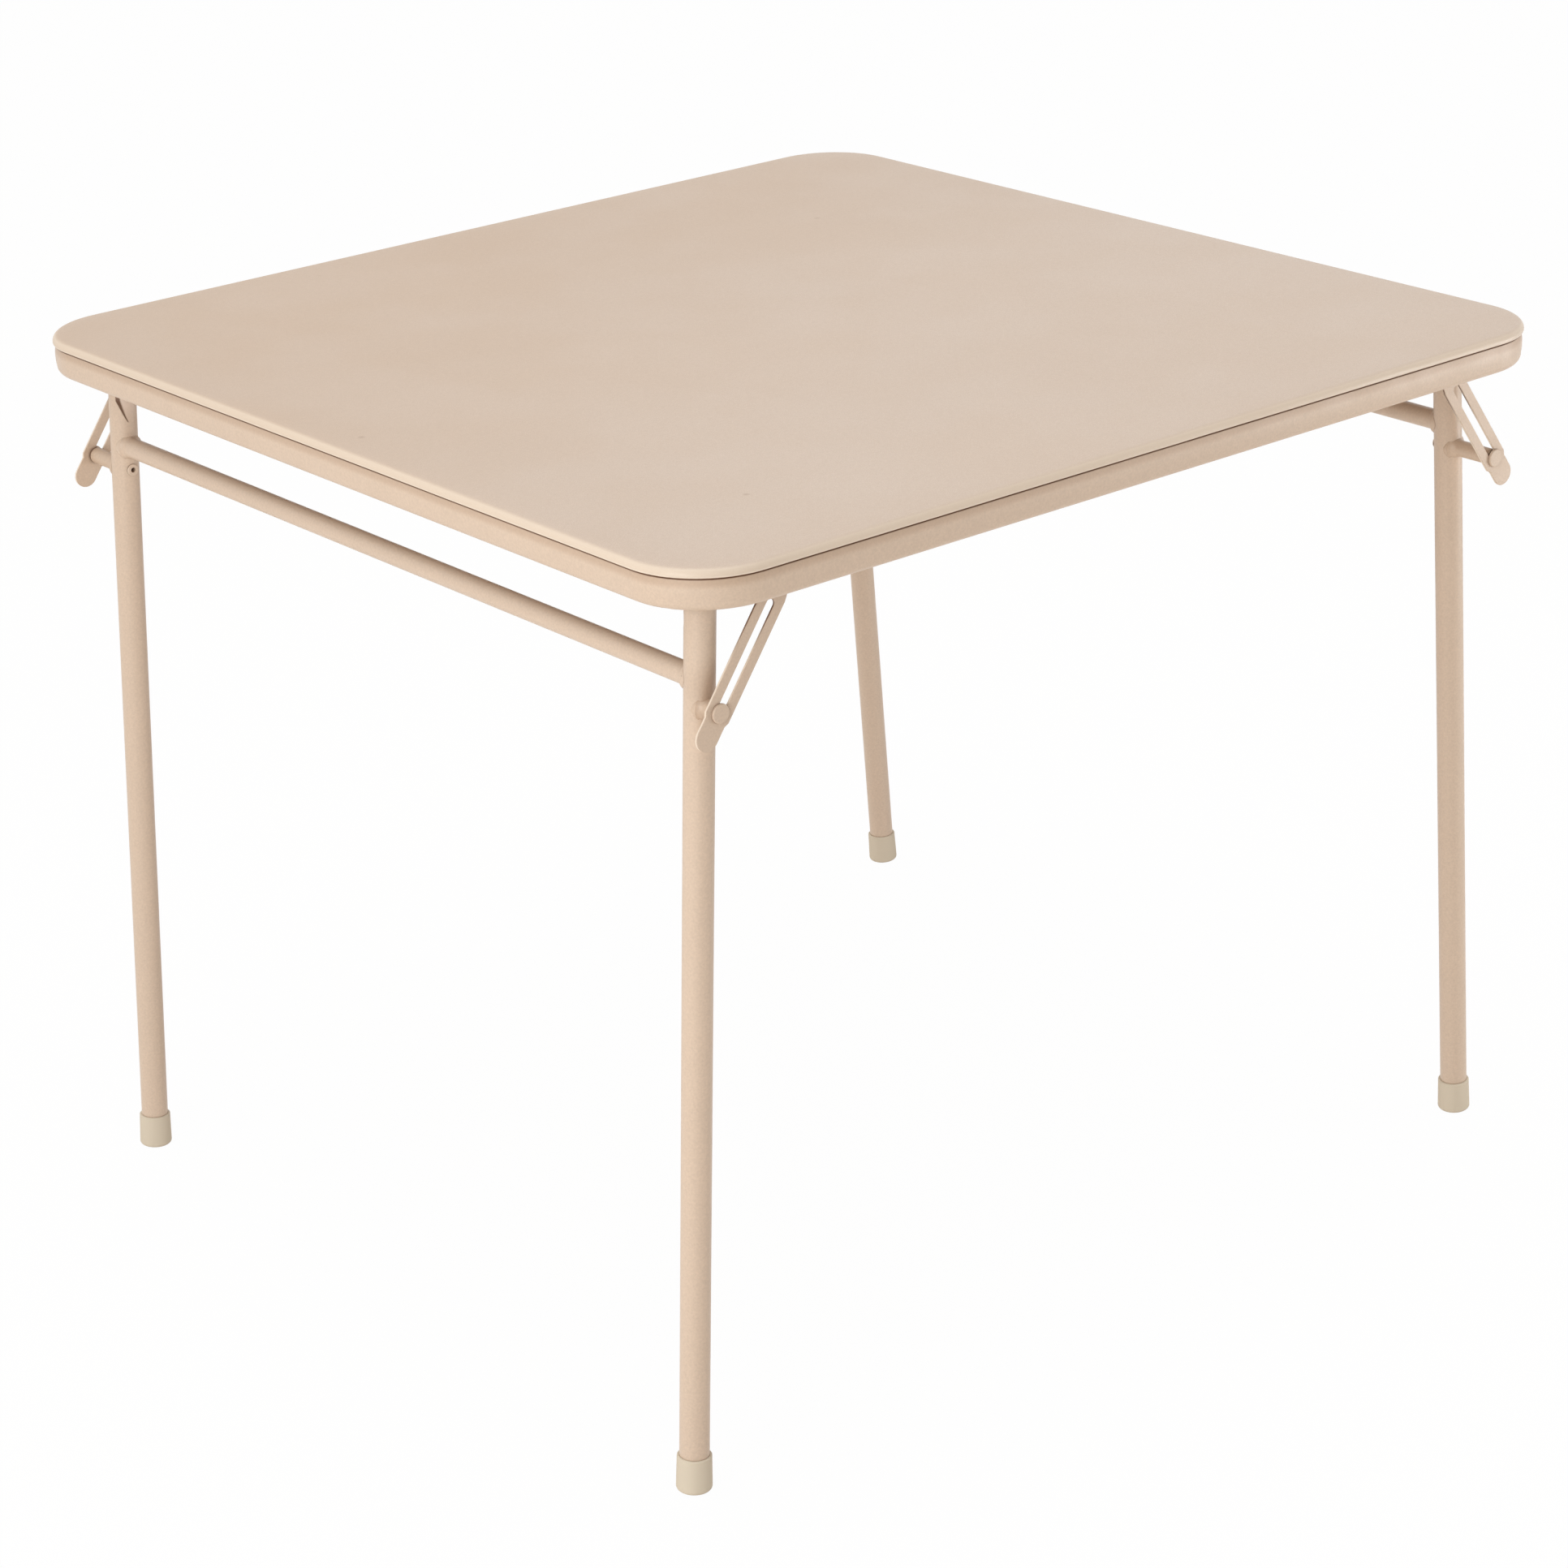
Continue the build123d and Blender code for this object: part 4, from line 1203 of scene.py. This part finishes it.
@dataclass
class PaddedPanel:
    """A rounded square skin of rings, closed over the middle or left open."""

    half_width: float
    corner_radius: float
    corner_steps: int = 20
    side_steps: int = 56
    least_radius: float = 0.0005
    ripples_out: float = 21.0
    ripples_up: float = 33.0

    def outline(self, inset: float) -> List[Tuple[float, float, float, float]]:
        """Points round the rounded square, each with its outward direction.

        Args:
            inset: Distance inside the edge.

        Returns:
            Rows of x, y and the two parts of the outward direction.
        """
        half = self.half_width - inset
        radius = max(self.corner_radius - inset, self.least_radius)
        run = half - radius
        rows: List[Tuple[float, float, float, float]] = []
        for quarter in range(4):
            start = math.radians(90 * quarter)
            east, north = math.cos(start), math.sin(start)
            for step in range(self.side_steps):
                along = -run + 2 * run * step / self.side_steps
                rows.append((east * half - north * along, north * half + east * along, east, north))
            for step in range(self.corner_steps):
                turn = start + math.radians(90 * step / self.corner_steps)
                centre_x, centre_y = east * run - north * run, north * run + east * run
                out_x, out_y = math.cos(turn), math.sin(turn)
                rows.append((centre_x + radius * out_x, centre_y + radius * out_y, out_x, out_y))
        return rows

    def ring_points(self, ring: Ring) -> List[Point]:
        """Place one ring, with its waves.

        Args:
            ring: The ring to place.

        Returns:
            The ring's points.
        """
        points: List[Point] = []
        for x, y, out_x, out_y in self.outline(ring.inset):
            out = ring.wave_out * ripple(x, y, self.ripples_out)
            up = ring.wave_up * (0.5 + 0.5 * ripple(x, y, self.ripples_up))
            points.append((x + out_x * out, y + out_y * out, ring.level + up))
        return points

    def skin(
        self, name: str, rings: Sequence[Ring], middle: Sequence[Tuple[float, float]], back: float
    ) -> Piece:
        """Join the rings into a mesh, closed over the middle at both ends.

        Args:
            name: The piece's name.
            rings: The rings, in order along the skin.
            middle: Shares of the first ring's width and their levels, running in to the middle.
            back: Level of the middle of the last ring's face.

        Returns:
            The new object.
        """
        verts: List[Point] = []
        faces: List[Tuple[int, ...]] = []
        count = 4 * (self.side_steps + self.corner_steps)
        for ring in rings:
            verts += self.ring_points(ring)
        for row in range(len(rings) - 1):
            for index in range(count):
                beside = (index + 1) % count
                low, high = row * count, (row + 1) * count
                faces.append((low + index, low + beside, high + beside, high + index))
        base = verts[:count]
        last = 0
        for share, level in middle:
            start = len(verts)
            verts += [(x * share, y * share, level) for x, y, _ in base]
            for index in range(count):
                beside = (index + 1) % count
                faces.append((last + beside, last + index, start + index, start + beside))
            last = start
        hub = len(verts)
        verts += [(0.0, 0.0, middle[-1][1]), (0.0, 0.0, back)]
        end = (len(rings) - 1) * count
        for index in range(count):
            faces.append((last + (index + 1) % count, last + index, hub))
        for index in range(count):
            faces.append((end + index, end + (index + 1) % count, hub + 1))
        mesh = bpy.data.meshes.new(name)
        mesh.from_pydata(verts, [], faces)
        mesh.validate()
        mesh.shade_smooth()
        return link(name, mesh)


@dataclass
class TopPad:
    """The table's soft top: stretched vinyl over a foam sheet."""

    half_width: float = 0.432
    corner_radius: float = 0.064
    top: float = 0.711
    thickness: float = 0.0009
    edge_round: float = 0.0052
    low_round: float = 0.0017
    bottom: float = 0.7037
    lap: float = 0.021
    soft_gap: float = 0.0003
    foam_thickness: float = 0.0018
    foam_slack: float = 0.0003
    foam_inset: float = 0.0008
    foam_bevel: float = 0.0006
    foam_squeeze: float = 0.0004
    foam_top_step: float = 0.0005
    foam_low_step: float = 0.0002
    least_round: float = 0.0002
    crown: float = 0.00025
    wave_out: float = 0.00018
    wave_up: float = 0.00022
    crown_shares: Tuple[Tuple[float, float], ...] = (
        (0.97, 0.5), (0.92, 0.9), (0.8, 1.0), (0.6, 1.0), (0.4, 1.0), (0.2, 1.0),
    )
    body: str = "table_top"
    vinyl: SoftVinyl = field(default_factory=SoftVinyl)
    foam: FoamSheet = field(default_factory=FoamSheet)

    def arc(
        self, centre: Tuple[float, float], radius: float, start: float, end: float, steps: int
    ) -> List[Ring]:
        """Rings round a bend of the skin.

        Args:
            centre: The bend's centre, as inset and level.
            radius: The bend's radius.
            start: First angle, in degrees above the outward direction.
            end: Last angle.
            steps: Number of steps between them.

        Returns:
            The rings, the first and last included.
        """
        rings: List[Ring] = []
        for step in range(steps + 1):
            turn = math.radians(start + (end - start) * step / steps)
            low = max(0.0, -math.sin(turn))
            inset = centre[0] - radius * math.cos(turn)
            level = centre[1] + radius * math.sin(turn)
            wave_out = self.wave_out * (1 - abs(math.sin(turn)))
            rings.append(Ring(inset, level, wave_out=wave_out, wave_up=self.wave_up * low))
        return rings

    def cover(self) -> Piece:
        """Build the vinyl cover, as a closed skin with an outer and an inner face.

        Returns:
            The cover.
        """
        panel = PaddedPanel(self.half_width, self.corner_radius)
        level = self.top - self.crown
        wall = self.thickness
        round_centre = (self.edge_round, level - self.edge_round)
        low = max(self.low_round - wall, self.least_round)
        low_centre = (self.low_round, self.bottom + self.low_round)
        inner_centre = (wall + low, self.bottom + wall + low)
        rings = self.arc(round_centre, self.edge_round, start=90, end=0, steps=8)
        rings += self.arc(low_centre, self.low_round, start=0, end=-90, steps=5)
        rings += [Ring(self.lap, self.bottom), Ring(self.lap, self.bottom + wall)]
        rings += self.arc(inner_centre, low, start=-90, end=0, steps=2)
        rings += self.arc(round_centre, self.edge_round - wall, start=0, end=90, steps=5)
        middle = [(share, level + self.crown * lift) for share, lift in self.crown_shares]
        return panel.skin("vinyl_top", rings, middle, back=level - wall)

    def padding(self) -> Piece:
        """Build the foam sheet under the vinyl.

        Returns:
            The foam.
        """
        inset = self.thickness + self.soft_gap
        panel = PaddedPanel(self.half_width, self.corner_radius, side_steps=12)
        high = self.top - inset - self.foam_slack
        low = high - self.foam_thickness + self.foam_squeeze
        side = inset + self.foam_inset
        rings = [
            Ring(side + self.foam_bevel, high),
            Ring(side, high - self.foam_top_step),
            Ring(side, low + self.foam_low_step),
            Ring(side + self.foam_slack, low),
        ]
        return panel.skin("foam_padding", rings, [(0.9, high), (0.4, high)], back=low)

    def build(self) -> List[Piece]:
        """Make both pieces and put them in place of their plain solids.

        Returns:
            The pieces.
        """
        cover, foam = self.cover(), self.padding()
        for piece, finish, node, slot in (
            (cover, self.vinyl, "vinyl_cover", "vinyl"),
            (foam, self.foam, "top_padding", "foam"),
        ):
            finish.dress(piece)
            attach(piece, self.body)
            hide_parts(node)
        return [cover, foam]


class LegRow(Enum):
    """How far from the table's middle line a leg stands, so that one pair folds inside the other."""

    NARROW = 0.3587
    WIDE = 0.3847


@dataclass
class FoldedLegs:
    """Leg tubes with the lower end of the crimp's fold pressed into their walls."""

    finish: Finish
    radius: float = 0.0111
    wall: float = 0.0012
    step: float = 0.0005
    low: float = 0.6395
    high: float = 0.669
    same_point: float = 1e-6
    on_plane: float = 1e-7
    sliver: float = 5e-6
    sharp_degrees: float = 35.0
    legs: Tuple[Tuple[str, str, LegRow], ...] = (
        ("left", "leg_pair_a", LegRow.NARROW),
        ("front", "leg_pair_a", LegRow.WIDE),
        ("right", "leg_pair_b", LegRow.NARROW),
        ("back", "leg_pair_b", LegRow.WIDE),
    )

    def refine(self, shape: bmesh.types.BMesh, row: LegRow) -> None:
        """Cut the tube's faces finely where the fold goes.

        Args:
            shape: The tube.
            row: The leg's row.
        """

        def bisect(geometry: List[object], point: Point, normal: Point) -> List[object]:
            """Cut some geometry along a plane and give it back with its new parts."""
            return bmesh.ops.bisect_plane(
                shape, geom=geometry, plane_co=point, plane_no=normal, dist=self.on_plane
            )["geom"]

        shape.verts.ensure_lookup_table()
        side = math.copysign(1.0, shape.verts[0].co.x)
        whole = shape.verts[:] + shape.edges[:] + shape.faces[:]
        for level in (self.low, self.high):
            whole = bisect(whole, (0, 0, level), (0, 0, 1))
        faces: List[bmesh.types.BMFace] = []
        for face in shape.faces:
            middle = face.calc_center_median()
            if self.low < middle.z < self.high and abs(middle.y) < row.value:
                faces.append(face)
        near: List[object] = list(faces)
        near += dict.fromkeys(edge for face in faces for edge in face.edges)
        near += dict.fromkeys(vert for face in faces for vert in face.verts)
        rise = round((self.high - self.low) / self.step)
        span = round(self.radius / self.step)
        for index in range(1, rise):
            near = bisect(near, (0, 0, self.low + self.step * index), (0, 0, 1))
        for index in range(-span, span + 1):
            reach = side * (FOLD.axis_reach + self.step * index)
            near = bisect(near, (reach, 0, FOLD.pivot_level), (side, 0, FOLD.splay))

    def press(self, shape: bmesh.types.BMesh, row: LegRow) -> None:
        """Push both faces of the wall in, where they aren't in as far already.

        Args:
            shape: The tube.
            row: The leg's row.
        """
        shape.normal_update()
        moves: List[Tuple[bmesh.types.BMVert, float]] = []
        for vert in shape.verts:
            local = abs(vert.co.y) - row.value
            if self.low < vert.co.z < self.high and local < 0.0:
                away = 1.0 if vert.co.y > 0 else -1.0
                outer = vert.normal.y * away < 0.0
                radius = self.radius if outer else self.radius - self.wall
                offset = FOLD.across(vert.co)
                full = math.sqrt(max(radius * radius - offset * offset, 0.0))
                push = FOLD.sunk(vert.co) - (local + full)
                if full > 0.0 and push > 0.0:
                    moves.append((vert, push * away))
        for vert, move in moves:
            vert.co.y += move

    def leg(self, node: Piece, name: str, row: LegRow) -> Piece:
        """Make one leg from its plain tube.

        Args:
            node: The plain tube.
            name: The leg's name.
            row: The leg's row.

        Returns:
            The leg.
        """
        mesh = bpy.data.meshes.new(name)
        shape = bmesh.new()
        shape.from_mesh(node.data)
        shape.transform(node.matrix_world)
        bmesh.ops.remove_doubles(shape, verts=shape.verts[:], dist=self.same_point)
        self.refine(shape, row)
        bmesh.ops.dissolve_degenerate(shape, dist=self.sliver, edges=shape.edges[:])
        self.press(shape, row)
        shape.to_mesh(mesh)
        shape.free()
        mesh.shade_smooth()
        mesh.set_sharp_from_angle(angle=math.radians(self.sharp_degrees))
        return link(name, mesh)

    def build(self, nodes: Dict[str, Piece]) -> List[Piece]:
        """Make the four legs and put them in place of the plain ones.

        Args:
            nodes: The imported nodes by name.

        Returns:
            The legs.
        """
        made: List[Piece] = []
        for corner, body, row in self.legs:
            node = nodes[f"leg_tube_{corner}"]
            piece = self.leg(node, f"folded_leg_{corner}", row)
            self.finish.dress(piece)
            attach(piece, body)
            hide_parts(node.name)
            made.append(piece)
        return made


@dataclass
class Steelwork:
    """Solids that keep their shape and only get their finish."""

    finishes: Dict[str, Finish]

    def build(self, nodes: Dict[str, Piece]) -> List[Piece]:
        """Dress every node whose name starts as one of the finishes' keys does.

        Args:
            nodes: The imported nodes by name.

        Returns:
            The dressed nodes.
        """
        dressed: List[Piece] = []
        for name, node in sorted(nodes.items()):
            for start, finish in self.finishes.items():
                if name.startswith(start):
                    finish.dress(node)
                    dressed.append(node)
        return dressed


@dataclass(frozen=True)
class Lamp:
    """One square soft lamp: its name, place and side in metres, and its power in watts."""

    name: str
    place: Point
    size: float
    power: float

    def hang(self, target: Point) -> None:
        """Hang the lamp and aim it.

        Args:
            target: The point that it shines at.
        """
        data = bpy.data.lights.new(self.name, "AREA")
        data.size = self.size
        data.energy = self.power
        lamp = link(self.name, data)
        lamp.location = self.place
        lamp.rotation_mode = "QUATERNION"
        lamp.rotation_quaternion = (Vector(target) - Vector(self.place)).to_track_quat("-Z", "Y")


@dataclass
class Studio:
    """Floor, world and lamps, none of them part of the table."""

    lamps: Tuple[Lamp, ...] = (
        Lamp("key_lamp", (-3.05, -1.4, 1.3), size=1.6, power=36.0),
        Lamp("top_lamp", (-0.1, -0.1, 3.2), size=2.0, power=19.5),
        Lamp("side_lamp", (1.6, -1.3, 0.5), size=0.7, power=9.0),
    )
    floor: StudioFloor = field(default_factory=StudioFloor)
    floor_level: float = -0.0004
    reach: float = 30.0
    sky: float = 0.75
    sky_colour: Colour = (1.0, 0.93, 0.86)
    dim_colour: Colour = (1.0, 0.87, 0.76)
    dim_side: Point = (0.45, -0.89, 0.0)
    dim_share: float = 0.72
    dim_start: float = -0.1
    dim_end: float = 0.9
    target: Point = (0.0, 0.0, 0.45)

    def build(self) -> None:
        """Make the floor, the world and the lamps."""
        self.lay_floor()
        self.light_world()
        for lamp in self.lamps:
            lamp.hang(self.target)
        bpy.context.scene.view_settings.view_transform = "Standard"

    def lay_floor(self) -> None:
        """Lay a wide floor a hair under the feet."""
        mesh = bpy.data.meshes.new("studio_floor")
        far, low = self.reach, self.floor_level
        corners = [(-far, -far, low), (far, -far, low), (far, far, low), (-far, far, low)]
        mesh.from_pydata(corners, [], [(0, 1, 2, 3)])
        floor = link("studio_floor", mesh)
        self.floor.dress(floor)

    def light_world(self) -> None:
        """Soft light from all round, dimmer from one side, on a white background."""
        world = bpy.data.worlds.new("studio_world")
        bpy.context.scene.world = world
        world.use_nodes = True
        world.node_tree.nodes.clear()
        graph = Graph(world.node_tree)
        seen = graph.seen()
        towards = graph.add("ShaderNodeTexCoord").outputs["Generated"]
        values = {0: towards, 1: self.dim_side}
        facing = graph.add("ShaderNodeVectorMath", values, operation="DOT_PRODUCT").outputs["Value"]
        dimmest = self.sky * (1 - self.dim_share)
        start, end = self.dim_start, self.dim_end
        strength = graph.ramp(facing, low=start, high=end, low_out=self.sky, high_out=dimmest)
        dimmed = graph.ramp(facing, low=start, high=end)
        colour = graph.blend(dimmed, self.sky_colour, self.dim_colour)
        lit = graph.add("ShaderNodeBackground", {"Color": colour, "Strength": strength})
        white = graph.add("ShaderNodeBackground", {"Color": (1.0, 1.0, 1.0), "Strength": 1.0})
        mixed = graph.add("ShaderNodeMixShader", {0: seen, 1: lit.outputs[0], 2: white.outputs[0]})
        graph.add("ShaderNodeOutputWorld", {"Surface": mixed.outputs[0]})


@dataclass(frozen=True)
class PhotoCamera:
    """The camera that took the photograph, worked out from the table's own edges."""

    place: Point = (-1.9204, -2.35485, 1.56853)
    yaw: float = 0.8888
    pitch: float = -0.3906
    roll: float = -0.0347
    focal_px: float = 4880.89
    image_px: int = 1932
    sensor_mm: float = 36.0
    nearest: float = 0.05
    farthest: float = 200.0

    def build(self) -> bpy.types.Object:
        """Make it the scene's camera.

        Returns:
            The camera.
        """
        data = bpy.data.cameras.new("photo_camera")
        data.sensor_width = self.sensor_mm
        data.lens = self.focal_px * self.sensor_mm / self.image_px
        data.clip_start, data.clip_end = self.nearest, self.farthest
        camera = link("photo_camera", data)
        ahead = Vector((
            math.cos(self.pitch) * math.cos(self.yaw),
            math.cos(self.pitch) * math.sin(self.yaw),
            math.sin(self.pitch),
        ))
        right = ahead.cross(Vector((0.0, 0.0, 1.0))).normalized()
        up = right.cross(ahead)
        turned_right = right * math.cos(self.roll) + up * math.sin(self.roll)
        turned_up = up * math.cos(self.roll) - right * math.sin(self.roll)
        turn = Matrix((turned_right, turned_up, -ahead)).transposed()
        camera.matrix_world = Matrix.Translation(Vector(self.place)) @ turn.to_4x4()
        bpy.context.scene.camera = camera
        return camera


def report(pieces: Iterable[Piece]) -> None:
    """Log the pieces by name.

    Args:
        pieces: The finished pieces.
    """
    for piece in pieces:
        log.info("built %s with %s", piece.name, ", ".join(m.name for m in piece.data.materials))


def main() -> None:
    """Build the table's looks in order."""
    logging.basicConfig(level=logging.INFO, format="%(name)s: %(message)s")
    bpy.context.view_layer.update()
    report(TopPad().build())
    enamel, rivets, welded = BakedEnamel(), RivetEnamel(), WeldedEnamel()
    steelwork = Steelwork({
        "apron_rail": RailEnamel(),
        "bracket_posts": enamel,
        "brace_rivet": rivets,
        "cross_tube": welded,
        "hinge_bracket": enamel,
        "leg_pivot_rivets": rivets,
        "slot_rivet": rivets,
        "slotted_brace": BraceEnamel(),
        # The stub's enamel is a slightly darker copy of the paint, painted shade for where it sits beside
        # the brace.
        "spacer_stub": BakedEnamel(name="shaded_stub_enamel", colour=srgb(214, 193, 172)),
        "foot_cap": CapPlastic(),
        "table_board": Hardboard(),
        "panel_screws": ZincPlate(),
        "bracket_rivets": ZincPlate(),
    })
    report(FoldedLegs(welded).build(frame["nodes"]))
    report(steelwork.build(frame["nodes"]))
    PhotoCamera().build()
    Studio().build()


if __name__ == "__main__":
    main()
